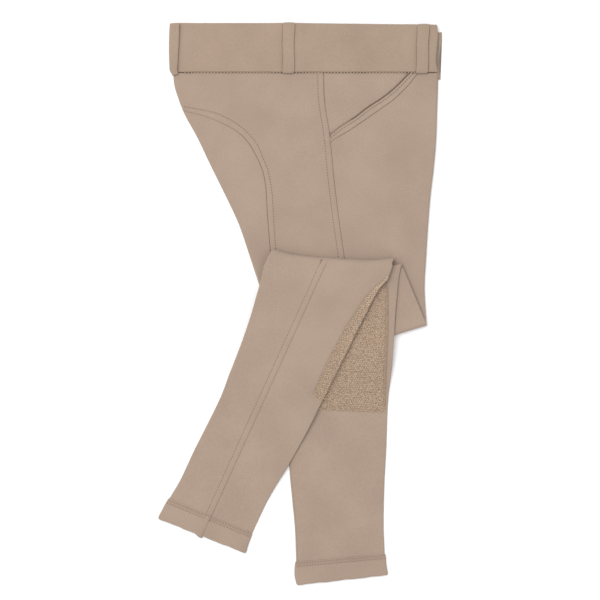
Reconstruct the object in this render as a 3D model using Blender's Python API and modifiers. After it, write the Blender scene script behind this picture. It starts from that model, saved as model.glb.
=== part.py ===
"""Riding breeches, folded flat: knee-patch breeches in tan stretch cloth.

The garment lies on its left side. It is folded along the centre-back and centre-front seams, the
thighs run down to a lower fold, the legs return up to a top fold, and then hang down again. From
the surface up, the layers are: left thigh, right thigh, right return, left return, left lower leg,
right lower leg. All sizes and tables are in millimetres, with +X towards the front of the garment,
+Y towards the waistband and +Z up. The origin is the middle of the footprint, on the surface.
"""

import math

import bmesh
import bpy

MM = 0.001

# Driving dimensions
CLOTH = 1.0               # one layer of breeches cloth
PATCH = 0.8               # knee-patch cloth
GAP = 0.3                 # clearance between pieces
LEG_TUBE = 2.4            # height of a flattened leg
BODY_HEIGHT = 4.6         # both thighs, pressed flat
BAND_HEIGHT = 5.4         # both halves of the waistband
BAND_CLOTH = 2.35         # folded and interfaced waistband
BAND_TOP = 308.2
BAND_SEAM = 255.3
BAND_FRONT_RIGHT = 151.4
BAND_FRONT_LEFT = 156.3
LOOP_CLOTH = 1.0
LOOP_WIDTH = 12.6
LOOP_TOP = 310.0
LOOP_FOOT = 255.6
HEM_CLOTH = 1.5
HEM_TUBE = 3.4
RETURN_TOP = 9.0          # upper face of the left return
LEFT_LEG_REST = 9.3       # underside of the left lower leg on the fold
RIGHT_LEG_REST = 14.2     # underside of the right lower leg on the fold
INSEAM_IN = 6.0           # the inseam lies this far inside the back edge
SEAT_SEAM_TOP = 215.3
SEAM_WALL = 0.7           # the upright part of each half at the folded edge

# Body outline: the centre-back edge and the centre-front edge at each height.
BODY = [
    # (y, back, front)
    (254.9, -139.7, 151.8),
    (243.0, -139.6, 151.5),
    (228.5, -134.6, 151.1),
    (212.0, -128.0, 150.6),
    (184.0, -112.6, 149.8),
    (149.5, -95.5, 147.0),
    (120.0, -81.8, 143.5),
    (87.0, -67.5, 140.8),
    (49.5, -54.8, 138.5),
    (20.0, -45.0, 136.9),
    (-8.0, -35.0, 137.4),
    (-25.0, -29.0, 139.4),
    (-75.0, -11.0, 141.0),
]

# Curved seat seam, side seam, pocket opening and the lower edge of the pocket binding.
SEAT_SEAM = [
    # (y, x)
    (216.8, -129.9), (215.3, -128.9), (212.0, -123.0), (208.8, -112.6), (201.5, -91.7),
    (193.8, -76.3), (185.7, -64.7), (174.1, -54.8), (158.7, -46.6), (145.0, -41.1),
    (127.4, -37.8), (106.5, -36.7), (85.6, -35.2), (61.9, -33.1), (-75.0, 2.0),
]
SIDE_SEAM = [
    # (y, x)
    (255.0, 25.6), (233.0, 26.0), (214.8, 27.9), (189.6, 32.0), (171.4, 34.0),
    (147.2, 36.2), (123.0, 38.8), (97.7, 42.0), (65.8, 46.5), (50.7, 48.6), (-75.0, 62.0),
]
POCKET_OPENING = [
    # (y, x)
    (255.0, 121.7), (247.3, 114.6), (236.3, 103.4), (226.4, 90.9), (216.5, 75.5),
    (204.4, 59.8), (195.6, 45.8), (185.7, 33.2), (180.0, 26.0),
]
POCKET_BINDING = [
    # (y, x)
    (255.0, 130.4), (241.8, 120.2), (228.6, 109.0), (219.1, 96.4), (207.7, 81.0),
    (195.6, 62.7), (185.7, 47.3), (178.0, 34.8), (172.0, 26.0),
]

# The lower fold runs through these two points, and the top folds of each leg through these.
LOWER_FOLD = ((-13.0, -70.0), (139.6, -23.9))
LEFT_TOP_FOLD = ((-15.8, 18.5), (111.4, 44.4))
RIGHT_TOP_FOLD = ((-31.2, 60.8), (103.4, 50.9))
FOLD_STACK = [(-31.2, 60.8), (103.4, 50.9), (111.4, 44.4), (139.6, -23.9), (-13.0, -70.0)]
LEFT_LEG_PLAN = [(-15.8, 18.5), (111.4, 44.4), (97.0, -300.0), (-6.0, -310.0), (-14.7, -73.0)]

# Lower legs: each row is a section across the leg. Distances run down the leg from its origin,
# and outwards from its axis to the back edge and to the front edge.
RIGHT_LEG_ORIGIN = (30.8, 49.1)
RIGHT_LEG_LEAN = 24.41    # degrees towards the back
RIGHT_LEG = [
    # (back_down, back, front_down, front)
    (15.0, -61.5, -30.5, 66.5),
    (34.0, -61.5, -9.0, 68.2),
    (46.0, -59.3, 5.0, 64.3),
    (58.0, -57.0, 20.0, 62.5),
    (70.0, -55.3, 35.0, 62.0),
    (83.0, -53.3, 51.0, 61.0),
    (96.0, -51.6, 67.0, 60.6),
    (110.0, -50.2, 84.0, 60.2),
    (123.0, -49.0, 101.0, 59.4),
    (137.0, -48.2, 118.0, 58.8),
    (150.0, -47.5, 133.0, 58.6),
    (161.0, -47.0, 147.0, 58.4),
    (190.0, -45.3, 183.0, 57.2),
    (228.0, -46.5, 226.0, 53.8),
    (256.0, -47.6, 255.0, 50.2),
    (284.0, -47.8, 283.0, 48.6),
    (309.5, -50.6, 308.0, 48.2),
]
RIGHT_HEM = [
    # (back_down, back, front_down, front)
    (309.9, -52.3, 308.4, 49.2),
    (324.0, -52.4, 320.0, 49.6),
    (338.0, -52.2, 331.8, 51.2),
]
LEFT_LEG_ORIGIN = (44.0, 44.4)
LEFT_LEG_LEAN = 0.0
LEFT_LEG = [
    # (back_down, back, front_down, front)
    (25.9, -59.8, 0.0, 67.4),
    (42.0, -59.8, 18.0, 64.0),
    (60.0, -59.6, 37.0, 62.2),
    (78.0, -59.3, 56.0, 60.6),
    (96.0, -59.0, 78.0, 59.2),
    (112.0, -58.8, 96.0, 58.0),
    (126.0, -58.5, 112.0, 57.1),
    (141.0, -58.2, 127.0, 55.4),
    (155.0, -57.8, 142.0, 53.6),
    (178.0, -57.3, 164.5, 52.0),
    (221.0, -56.3, 205.0, 50.6),
    (262.0, -52.8, 248.0, 48.4),
    (295.0, -49.8, 284.0, 47.7),
    (327.0, -48.3, 319.5, 48.8),
]
LEFT_HEM = [
    # (back_down, back, front_down, front)
    (327.4, -49.9, 319.9, 50.2),
    (340.0, -50.4, 331.0, 50.8),
    (354.4, -48.0, 342.8, 52.6),
]

# How far each knee patch reaches from the front edge of its leg. The right one wraps the edge.
RIGHT_PATCH = [
    # (front_down, on_top)
    (-9.0, 0.4), (12.0, 6.7), (31.0, 11.0), (50.0, 12.7), (69.0, 14.0), (91.0, 14.6), (147.0, 15.0),
]
RIGHT_PATCH_ROWS = (1, 12)
LEFT_PATCH_FRONT = [
    # (front_down, inside the front edge)
    (0.0, 14.0), (18.0, 12.0), (37.0, 9.6), (80.0, 6.6), (112.0, 6.1), (139.0, 3.4), (165.0, 1.8),
]
LEFT_PATCH_BACK = 9.0
LEFT_PATCH_ROWS = (1, 10)

# Belt loops: the x of each loop's middle at the top and at the foot of the band.
LOOPS = [
    # (name, top, foot)
    ("back", -12.8, -13.4),
    ("front", 135.4, 133.8),
]

TAN = "B39C8A"
PATCH_TAN = "A7917A"
BAND_TAN = "B19B87"


# Reading the tables

def curve(rows, at, column=1):
    """The column's value at a height, on a smooth curve through the rows (sorted by column 0)."""
    rows = sorted(rows)
    keys = [row[0] for row in rows]
    values = [row[column] for row in rows]
    at = min(max(at, keys[0]), keys[-1])
    i = max(k for k in range(len(keys) - 1) if keys[k] <= at)
    slopes = [(values[k + 1] - values[k]) / (keys[k + 1] - keys[k]) for k in range(len(keys) - 1)]

    def tangent(k):
        if k == 0:
            return slopes[0]
        if k == len(slopes):
            return slopes[-1]
        before, after = slopes[k - 1], slopes[k]
        return 0.0 if before * after <= 0 else 2 * before * after / (before + after)

    span = keys[i + 1] - keys[i]
    t = (at - keys[i]) / span
    return (
        (2 * t ** 3 - 3 * t ** 2 + 1) * values[i]
        + (t ** 3 - 2 * t ** 2 + t) * span * tangent(i)
        + (3 * t ** 2 - 2 * t ** 3) * values[i + 1]
        + (t ** 3 - t ** 2) * span * tangent(i + 1)
    )


def spaced(start, stop, count):
    """Evenly spaced numbers, ends included."""
    return [start + (stop - start) * k / (count - 1) for k in range(count)]


def ease(t):
    t = min(max(t, 0.0), 1.0)
    return t * t * (3 - 2 * t)


def outside(plan, x, y):
    """How far a point is outside a convex plan whose corners run clockwise; 0 inside."""
    inside = True
    nearest = 1e9
    for (ax, ay), (bx, by) in zip(plan, plan[1:] + plan[:1]):
        dx, dy = bx - ax, by - ay
        if dx * (y - ay) - dy * (x - ax) > 0:
            inside = False
        along = min(max(((x - ax) * dx + (y - ay) * dy) / (dx * dx + dy * dy), 0.0), 1.0)
        nearest = min(nearest, math.hypot(x - ax - along * dx, y - ay - along * dy))
    return 0.0 if inside else nearest


def drape(plan, x, y, height, shelf, reach):
    """Height of cloth that leaves a stack's edge: level for a shelf, then down over its reach."""
    return height * (1 - ease((outside(plan, x, y) - shelf) / reach))


# Where each leg rests

def left_leg_base(x, y):
    return drape(FOLD_STACK, x, y, LEFT_LEG_REST, 6, 60)


def right_leg_base(x, y):
    patches = 2 * (PATCH + GAP) + 1.0
    over_left = left_leg_base(x, y) + LEG_TUBE + GAP + patches * ease((y + 165) / 40)
    over_left *= 1 - ease((outside(LEFT_LEG_PLAN, x, y) - 8) / 20)
    return max(drape(FOLD_STACK, x, y, RIGHT_LEG_REST, 8, 75), over_left)


# Making meshes

def linear(hex_colour):
    channels = [int(hex_colour[k:k + 2], 16) / 255 for k in (0, 2, 4)]
    return [c / 12.92 if c <= 0.04045 else ((c + 0.055) / 1.055) ** 2.4 for c in channels] + [1.0]


def finish(name, points, faces, colour):
    """A named object from points in millimetres, in the breeches collection."""
    mesh = bpy.data.meshes.new(name)
    mesh.from_pydata([tuple(c * MM for c in p) for p in points], [], faces)
    mesh.validate()
    material = bpy.data.materials.new(name)
    material.use_nodes = True
    shader = material.node_tree.nodes["Principled BSDF"]
    shader.inputs["Base Color"].default_value = linear(colour)
    shader.inputs["Roughness"].default_value = 0.9
    shader.inputs["Metallic"].default_value = 0.0
    mesh.materials.append(material)
    piece = bpy.data.objects.new(name, mesh)
    bpy.data.collections["riding_breeches"].objects.link(piece)
    return piece


def cloth(name, rows, thickness, colour=TAN, flip=False, ring=False, inner=None):
    """A wall of cloth behind a grid of points on its outer face.

    Rows run down the garment and points run from back to front when seen from outside; flip is for
    a grid seen from its other side, and ring joins the last point of each row to the first. Where
    the inner face isn't simply the outer one moved in, inner gives its grid.
    """
    width = len(rows[0])
    points = [p for row in rows for p in row]
    faces = []
    for r in range(len(rows) - 1):
        for c in range(width if ring else width - 1):
            d = (c + 1) % width
            a, b, e, f = r * width + c, (r + 1) * width + c, (r + 1) * width + d, r * width + d
            across = math.dist(points[a][:2], points[e][:2]) < math.dist(points[b][:2], points[f][:2])
            pair = [(a, b, e), (a, e, f)] if across else [(a, b, f), (b, e, f)]
            faces += [face[::-1] for face in pair] if flip else pair
    if inner:
        count = len(points)
        points += [p for row in inner for p in row]
        faces += [tuple(count + k for k in face[::-1]) for face in faces]
        rims = [[(r, 0), (r + 1, 0)][::-1] for r in range(len(rows) - 1)]
        rims += [[(r, width - 1), (r + 1, width - 1)] for r in range(len(rows) - 1)]
        rims += [[(0, c), (0, c + 1)] for c in range(width - 1)]
        rims += [[(len(rows) - 1, c), (len(rows) - 1, c + 1)][::-1] for c in range(width - 1)]
        for (r0, c0), (r1, c1) in rims:
            a, b = r0 * width + c0, r1 * width + c1
            faces.append((a, b, b + count, a + count)[::-1 if flip else 1])
        return finish(name, points, faces, colour)
    piece = finish(name, points, faces, colour)
    wall = piece.modifiers.new("wall", "SOLIDIFY")
    wall.thickness = thickness * MM
    wall.offset = -1
    wall.use_even_offset = True
    return piece


def slab(name, outline, levels, colour=TAN):
    """A solid of stacked outlines: each level is a height and how far its edge is drawn in."""
    count = len(outline)
    middle = [sum(p[k] for p in outline) / count for k in (0, 1)]
    points = []
    for z, inset in levels:
        for k, (x, y) in enumerate(outline):
            before, after = outline[k - 1], outline[(k + 1) % count]
            tx, ty = after[0] - before[0], after[1] - before[1]
            size = math.hypot(tx, ty)
            nx, ny = ty / size, -tx / size
            if nx * (middle[0] - x) + ny * (middle[1] - y) < 0:
                nx, ny = -nx, -ny
            points.append((x + nx * inset, y + ny * inset, z))
    faces = [tuple(range(count)), tuple(range(len(points) - 1, len(points) - count - 1, -1))]
    for level in range(len(levels) - 1):
        for k in range(count):
            a, b = level * count + k, level * count + (k + 1) % count
            faces.append((a, a + count, b + count, b))
    piece = finish(name, points, faces, colour)
    shape = bmesh.new()
    shape.from_mesh(piece.data)
    bmesh.ops.recalc_face_normals(shape, faces=shape.faces)
    shape.to_mesh(piece.data)
    shape.free()
    return piece


# Hip and thigh panels

def row_slope(y):
    """Sections tilt gradually, until the last one lies along the lower fold."""
    (ax, ay), (bx, by) = LOWER_FOLD
    return (by - ay) / (bx - ax) * ease((90 - y) / 120)


def body_row(y):
    """The ends of the section whose side-seam point is at y, and its slope."""
    slope = row_slope(y)
    side = curve(SIDE_SEAM, y)
    back = curve(BODY, y)
    front = curve(BODY, y, 2)
    for _ in range(4):
        back = curve(BODY, y + slope * (back - side))
        front = curve(BODY, y + slope * (front - side), 2)
    return {"y": y, "slope": slope, "side": side, "back": back, "front": front}


def body_face(row, x, right):
    """A point on the outer face of the right (upper) or left (lower) half at x in a section."""
    radius = BODY_HEIGHT / 2
    inside = min(max(min(x - row["back"], row["front"] - x), 0.0), radius)
    bulge = math.sqrt(max(1 - (1 - inside / radius) ** 2, 0.0))
    rise = SEAM_WALL + (radius - SEAM_WALL) * bulge if inside > 1e-6 else GAP / 2
    y = row["y"] + row["slope"] * (x - row["side"])
    return (x, y, radius + rise if right else radius - rise)


def body_lining(row, x, right):
    """The point on a body panel's inner face that belongs to the outer face's point at x."""
    radius = BODY_HEIGHT / 2
    bend = radius - CLOTH
    inside = min(x - row["back"], row["front"] - x)
    share = min(max(inside / radius, 0.0), 1.0)
    if share < 1:
        shift = CLOTH + bend * share - inside
        x = x + shift if x - row["back"] < row["front"] - x else x - shift
    rise = GAP / 2 + (bend - GAP / 2) * math.sqrt(1 - (1 - share) ** 2)
    rise = max(rise, GAP) if inside > 1e-6 else GAP / 2
    y = row["y"] + row["slope"] * (x - row["side"])
    return (x, y, radius + rise if right else radius - rise)


def columns(row, start, stop, count):
    """Where a panel's points lie: closer together where it rolls over the body's edge."""
    radius = BODY_HEIGHT / 2
    roll = [0.0, 1e-4] + [radius * (1 - math.cos(math.radians(a))) for a in (35, 90)]
    starts = roll if start <= row["back"] + 0.01 and stop - start > 2 * radius else None
    stops = roll if stop >= row["front"] - 0.01 and stop - start > 2 * radius else None
    if not (starts or stops):
        return spaced(start, stop, count + 3)
    at_back = [start + r for r in starts] if starts else [start]
    at_front = [stop - r for r in reversed(stops)] if stops else []
    first = at_back[-1]
    last = at_front[0] if at_front else stop
    return at_back[:-1] + spaced(first, last, count) + at_front[1:]


PANEL_ROWS = [254.9, 247.0, 237.0, 226.4, SEAT_SEAM_TOP + 1.5, SEAT_SEAM_TOP, 212.0, 208.8, 201.5,
              193.8, 185.7, 178.4, 172.0, 158.7, 145.0, 127.4, 106.5, 85.6, 61.9, 24.0, -12.0]


def panel_rows(first, last):
    return [body_row(y) for y in PANEL_ROWS if first >= y >= last]


def fold_row(inside):
    """The section that lies a given distance above the lower fold."""
    (ax, ay), (bx, by) = LOWER_FOLD
    slope = (by - ay) / (bx - ax)
    lift = inside * math.hypot(1, slope)
    side = curve(SIDE_SEAM, -50)
    y = ay + slope * (side - ax) + lift
    back, front = -25.0, 139.0
    for _ in range(4):
        back = curve(BODY, y + slope * (back - side))
        front = curve(BODY, y + slope * (front - side), 2)
    return {"y": y, "slope": slope, "side": side, "back": back, "front": front}


def seam_x(rows_of_seam, row):
    """Where a seam crosses a section."""
    x = curve(rows_of_seam, row["y"])
    for _ in range(4):
        x = curve(rows_of_seam, row["y"] + row["slope"] * (x - row["side"]))
    return x


def body_panels(right):
    """Back, seat, front, pocket facing and pocket binding of one half."""
    half = "right" if right else "left"
    rows = panel_rows(254.9, -12.0) + [fold_row(4.0 if right else 12.6)]
    whole = [row for row in rows if row["y"] != SEAT_SEAM_TOP]
    seam = GAP / 2

    def panel(name, used, start, stop, count):
        places = [(row, columns(row, start(row), stop(row), count)) for row in used]
        grid = [[body_face(row, x, right) for x in steps] for row, steps in places]
        inner = [[body_lining(row, x, right) for x in steps] for row, steps in places]
        return cloth(f"{half}_{name}", grid, CLOTH, flip=not right, inner=inner)

    def back_start(row):
        return row["back"] if row["y"] > SEAT_SEAM_TOP else seam_x(SEAT_SEAM, row) + seam

    panel("back", whole, back_start, lambda row: seam_x(SIDE_SEAM, row) - seam, 3)
    below = [row for row in rows if row["y"] <= SEAT_SEAM_TOP]
    panel("seat", below, lambda row: row["back"], lambda row: seam_x(SEAT_SEAM, row) - seam, 2)

    def front_start(row):
        return max(seam_x(SIDE_SEAM, row), curve(POCKET_BINDING, row["y"])) + seam

    panel("front", whole, front_start, lambda row: row["front"], 3)
    beside = [row for row in whole if row["y"] >= 193.0]
    panel("pocket_facing", beside, lambda row: seam_x(SIDE_SEAM, row) + seam,
          lambda row: curve(POCKET_OPENING, row["y"]) - seam, 3)
    bound = [row for row in whole if row["y"] >= 180.0]
    panel("pocket_binding", bound,
          lambda row: max(seam_x(SIDE_SEAM, row), curve(POCKET_OPENING, row["y"])) + seam,
          lambda row: curve(POCKET_BINDING, row["y"]) - seam, 2)


# Waistband and belt loops

def band_lift(x):
    """The band rises over the belt loops of the side that it lies on."""
    lift = LOOP_CLOTH + GAP
    centres = [0.5 * (top + foot) for _, top, foot in LOOPS]
    near = [1 - ease((abs(x - c) - 0.5 * LOOP_WIDTH - 3) / 14) for c in centres]
    near.append(1 - ease((x + 139.7 - 13) / 14))
    return lift * max(near)


def band_edge(y):
    """The centre-back edge of the band is straight, and swells a little at its middle."""
    return -140.6 - 0.6 * math.sin(math.pi * (y - BAND_SEAM) / (BAND_TOP - BAND_SEAM))


def waistband(right):
    half = BAND_HEIGHT / 2
    side = 1 if right else -1
    front = BAND_FRONT_RIGHT if right else BAND_FRONT_LEFT
    rows = []
    for y in spaced(BAND_TOP, BAND_SEAM, 4):
        roll = [(band_edge(y), GAP / 2)]
        roll += [(band_edge(y) + half * (1 - math.cos(a)),
                  SEAM_WALL + (half - SEAM_WALL) * math.sin(a))
                 for a in (math.radians(d) for d in (0, 30, 60, 90))]
        stops = [-126.5, -112.0, -97.0, -36.0, -22.0, -13.0, -4.0, 10.0, 60.0, 111.0, 125.0, 134.5,
                 144.0, front]
        flat = [(x, half) for x in stops]
        tip = 0.9 * (1 - ease((BAND_TOP - y) / 8)) if right else 0.0
        shape = roll + flat
        shape[-1] = (shape[-1][0] - tip, half)
        rows.append([(x, y - (0.006 * max(x, 0) if y > 280 else 0), half + band_lift(x) + side * h)
                     for x, h in shape])
    cloth(f"waistband_{'right' if right else 'left'}", rows, BAND_CLOTH, BAND_TAN, flip=not right)


def belt_loop(name, top, foot, right):
    """A strap that folds over the band's top edge and is sewn at the waist seam."""
    half = BAND_HEIGHT / 2
    side = 1 if right else -1
    reach = half + GAP + LOOP_CLOTH
    profile = [
        # (y, height above the middle of the band)
        (LOOP_TOP - 0.2, 1.2), (LOOP_TOP, 2.6), (LOOP_TOP - 0.9, reach), (300.0, reach + 0.5),
        (270.0, reach + 0.5), (259.0, reach), (LOOP_FOOT, reach - 0.2),
    ]
    rows = []
    for y, h in profile:
        centre = foot + (top - foot) * (y - LOOP_FOOT) / (LOOP_TOP - LOOP_FOOT)
        middle = half + LOOP_CLOTH + GAP
        if not right:
            h = min(h, reach)
        rows.append([(centre + x, y, middle + side * h)
                     for x in spaced(-LOOP_WIDTH / 2, LOOP_WIDTH / 2, 3)])
    cloth(name, rows, LOOP_CLOTH, BAND_TAN, flip=not right)


def back_loop():
    """The centre-back loop wraps the fold, with a leg on each half of the band."""
    middle = BAND_HEIGHT / 2 + LOOP_CLOTH + GAP
    radius = BAND_HEIGHT / 2 + GAP + LOOP_CLOTH
    rows = []
    for y in spaced(LOOP_TOP - 0.6, LOOP_FOOT, 4):
        centre = band_edge(y) + BAND_HEIGHT / 2
        legs = [(centre + 7.4, -radius), (centre + 3.5, -radius)]
        turn = [(centre - radius * math.cos(a), radius * math.sin(a))
                for a in (math.radians(d) for d in range(-90, 91, 30))]
        tops = [(centre + 3.5, radius), (centre + 7.4, radius)]
        rows.append([(x, y, middle + h) for x, h in legs + turn + tops])
    cloth("belt_loop_center_back", rows, LOOP_CLOTH, BAND_TAN)


# Lower legs

def leg_point(origin, lean, down, across):
    """A plan point from distances down the leg and across it, towards the front."""
    a = math.radians(lean)
    return (origin[0] - math.sin(a) * down + math.cos(a) * across,
            origin[1] - math.cos(a) * down - math.sin(a) * across)


def section(origin, lean, row, base):
    """A level section across a leg, as a function of distance across and height in the tube."""
    back = leg_point(origin, lean, row[0], row[1])
    front = leg_point(origin, lean, row[2], row[3])
    width = math.dist(back, front)

    def at(across, height):
        x = back[0] + (front[0] - back[0]) * across / width
        y = back[1] + (front[1] - back[1]) * across / width
        return (x, y, base(x, y) + height)

    return {"width": width, "at": at}


def rolled(fold, angle, inner, centre_z):
    """A section on the roll of a top fold: angle 0 is on top, 180 underneath."""
    (ax, ay), (bx, by) = fold
    width = math.dist(*fold)
    out = (-(by - ay) / width, (bx - ax) / width)
    turn = math.radians(angle)
    radius = inner + LEG_TUBE

    def at(across, height):
        reach = (inner + height) * math.sin(turn) - radius
        x = ax + (bx - ax) * across / width + out[0] * reach
        y = ay + (by - ay) * across / width + out[1] * reach
        return (x, y, centre_z + (inner + height) * math.cos(turn))

    return {"width": width, "at": at}


def rim(width, at_front, tube, out, steps=4):
    """Points of the half round where the leg's cloth turns over at one edge."""
    radius = tube / 2
    centre = width - radius if at_front else radius
    angles = [math.radians(90 - 180 * k / steps) for k in range(1, steps)]
    side = 1 if at_front else -1
    turn = [(centre + side * (radius + out) * math.cos(a), radius + (radius + out) * math.sin(a))
            for a in angles]
    return turn if at_front else turn[::-1]


def steps_across(width, tube, seam):
    """Points across a face of the tube: its back edge, inseam, steps, side seam, steps, front edge."""
    edge = width - tube / 2
    to_seam = spaced(INSEAM_IN, seam, 5)
    return [tube / 2] + to_seam + spaced(seam, edge, 4)[1:]


def front_ring(width, seam, tube, out=0.0, seam_on_top=True):
    """From one seam on top, round the front edge, to the other seam underneath."""
    steps = steps_across(width, tube, seam)
    long = [steps[1] + GAP / 2] + steps[2:]
    short = [seam + GAP / 2] + steps[6:]
    top, under = (short, long) if seam_on_top else (long, short)
    return ([(t, tube + out) for t in top] + rim(width, True, tube, out)
            + [(t, -out) for t in reversed(under)])


def back_ring(width, seam, tube, out=0.0, seam_on_top=True):
    """From one seam underneath, round the back edge, to the other seam on top."""
    steps = steps_across(width, tube, seam)
    short = [steps[0], steps[1] - GAP / 2]
    long = steps[:5] + [seam - GAP / 2]
    top, under = (long, short) if seam_on_top else (short, long)
    return ([(t, -out) for t in reversed(under)] + rim(width, False, tube, out)
            + [(t, tube + out) for t in top])


def leg_sections(origin, lean, table, base, fold, inner, centre_z):
    """The roll of the top fold and then every section down to the hem."""
    turns = [rolled(fold, angle, inner, centre_z) for angle in (150, 110, 75, 40)]
    flats = [section(origin, lean, row, base) for row in table[1:]]
    return turns, flats


def right_leg():
    inner = (RIGHT_LEG_REST + LEG_TUBE - (BODY_HEIGHT + GAP)) / 2 - LEG_TUBE
    turns, flats = leg_sections(RIGHT_LEG_ORIGIN, RIGHT_LEG_LEAN, RIGHT_LEG, right_leg_base,
                                RIGHT_TOP_FOLD, inner, RIGHT_LEG_REST - inner)
    sections = turns + [rolled(RIGHT_TOP_FOLD, 0, inner, RIGHT_LEG_REST - inner)] + flats
    backs = [61.5] * (len(turns) + 1) + [-row[1] for row in RIGHT_LEG[1:]]

    def seam(k):
        """Distance of the side seam from the back edge, along the tilted section."""
        row = RIGHT_LEG[max(k - len(turns), 0)]
        tilt = math.hypot(row[3] - row[1], row[2] - row[0]) / (row[3] - row[1])
        return backs[k] * tilt

    back = [[s["at"](t, h) for t, h in back_ring(s["width"], seam(k), LEG_TUBE)]
            for k, s in enumerate(sections)]
    cloth("right_back_lower", back, CLOTH)
    front = [[s["at"](t, h) for t, h in front_ring(s["width"], seam(k), LEG_TUBE)]
             for k, s in enumerate(sections)]
    cloth("right_front_lower", front, CLOTH)
    patch_sections = flats[RIGHT_PATCH_ROWS[0] - 1:RIGHT_PATCH_ROWS[1] - 1]
    patch_rows = RIGHT_LEG[RIGHT_PATCH_ROWS[0]:RIGHT_PATCH_ROWS[1]]
    grid = []
    for k, (s, row) in enumerate(zip(patch_sections, patch_rows), len(turns) + RIGHT_PATCH_ROWS[0]):
        reach = curve(RIGHT_PATCH, row[2])
        edge = s["width"] - LEG_TUBE / 2
        out = PATCH + GAP
        ring = [(edge - reach, LEG_TUBE + out), (edge, LEG_TUBE + out)]
        ring += rim(s["width"], True, LEG_TUBE, out)
        ring += [(t, -out) for t in (edge, steps_across(s["width"], LEG_TUBE, seam(k))[-2] + 1.0)]
        grid.append([s["at"](t, h) for t, h in ring])
    cloth("right_knee_patch", grid, PATCH, PATCH_TAN)
    hem("right_hem", RIGHT_LEG_ORIGIN, RIGHT_LEG_LEAN, RIGHT_HEM, right_leg_base)


def left_leg():
    inner = 0.15
    turns, flats = leg_sections(LEFT_LEG_ORIGIN, LEFT_LEG_LEAN, LEFT_LEG, left_leg_base,
                                LEFT_TOP_FOLD, inner, LEFT_LEG_REST - inner)
    sections = turns[1:] + [rolled(LEFT_TOP_FOLD, 0, inner, LEFT_LEG_REST - inner)] + flats

    def seam(s):
        """The side seam is underneath, in the middle of the outer side."""
        return 0.48 * s["width"]

    back = [[s["at"](t, h) for t, h in back_ring(s["width"], seam(s), LEG_TUBE,
                                                 seam_on_top=False)] for s in sections]
    cloth("left_back_lower", back, CLOTH)
    front = [[s["at"](t, h) for t, h in front_ring(s["width"], seam(s), LEG_TUBE,
                                                   seam_on_top=False)] for s in sections]
    cloth("left_front_lower", front, CLOTH)
    grid = []
    for s, row in zip(flats[LEFT_PATCH_ROWS[0] - 1:LEFT_PATCH_ROWS[1] - 1],
                      LEFT_LEG[LEFT_PATCH_ROWS[0]:LEFT_PATCH_ROWS[1]]):
        inside = curve(LEFT_PATCH_FRONT, row[2])
        across = spaced(LEFT_PATCH_BACK, s["width"] - inside, 6)
        grid.append([s["at"](t, LEG_TUBE + PATCH + GAP) for t in across])
    cloth("left_knee_patch", grid, PATCH, PATCH_TAN)
    hem("left_hem", LEFT_LEG_ORIGIN, LEFT_LEG_LEAN, LEFT_HEM, left_leg_base)


def hem(name, origin, lean, table, base):
    """The turned-up hem, a ring of double cloth round the leg opening."""
    grid = []
    for row in table:
        s = section(origin, lean, row, base)
        edges = spaced(HEM_TUBE / 2, s["width"] - HEM_TUBE / 2, 5)
        ring = ([(t, 0.0) for t in reversed(edges[:3])] + rim(s["width"], False, HEM_TUBE, 0.0)
                + [(t, HEM_TUBE) for t in edges] + rim(s["width"], True, HEM_TUBE, 0.0)
                + [(t, 0.0) for t in reversed(edges[3:])])
        grid.append([s["at"](t, h) for t, h in ring])
    cloth(name, grid, HEM_CLOTH, ring=True)


# The folded middle of the legs

def left_return():
    """The left leg's cloth round the lower fold and up over the stack, under the lower legs."""
    (ax, ay), (bx, by) = LOWER_FOLD
    width = math.dist(*LOWER_FOLD)
    along = ((bx - ax) / width, (by - ay) / width)
    out = (along[1], -along[0])
    radius = RETURN_TOP / 2
    (cx, cy), (dx, dy) = LEFT_TOP_FOLD
    stops = spaced(0.0, 1.0, 5)
    roll = [(1 - 1.1 / width, 0.0), (1 - 0.35 / width, 0.35), (1.0, 1.1)]
    shape = [(0.0, 1.1)] + [(max(t, 0.01), 0.0) for t in stops[:-1]] + roll
    rows = []
    for reach, turn in ((-12.0, 180), (-radius, 180), (None, 140), (None, 90), (None, 40), (None, 0)):
        row = []
        for t, drop in shape:
            r = radius - drop
            a = math.radians(turn)
            away = reach if reach is not None else r * math.sin(a) - radius
            row.append((ax + (bx - ax) * t + out[0] * away, ay + (by - ay) * t + out[1] * away,
                        radius + r * math.cos(a)))
        rows.append(row)
    for share in (0.3, 0.6, 0.94):
        row = []
        for t, drop in shape:
            x = (ax + (bx - ax) * t) * (1 - share) + (cx + (dx - cx) * t) * share
            y = (ay + (by - ay) * t) * (1 - share) + (cy + (dy - cy) * t) * share
            row.append((x, y, RETURN_TOP - drop))
        rows.append(row)
    cloth("left_front_return", rows, CLOTH, flip=True)


def between(a, b, share):
    return (a[0] + (b[0] - a[0]) * share, a[1] + (b[1] - a[1]) * share)


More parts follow.
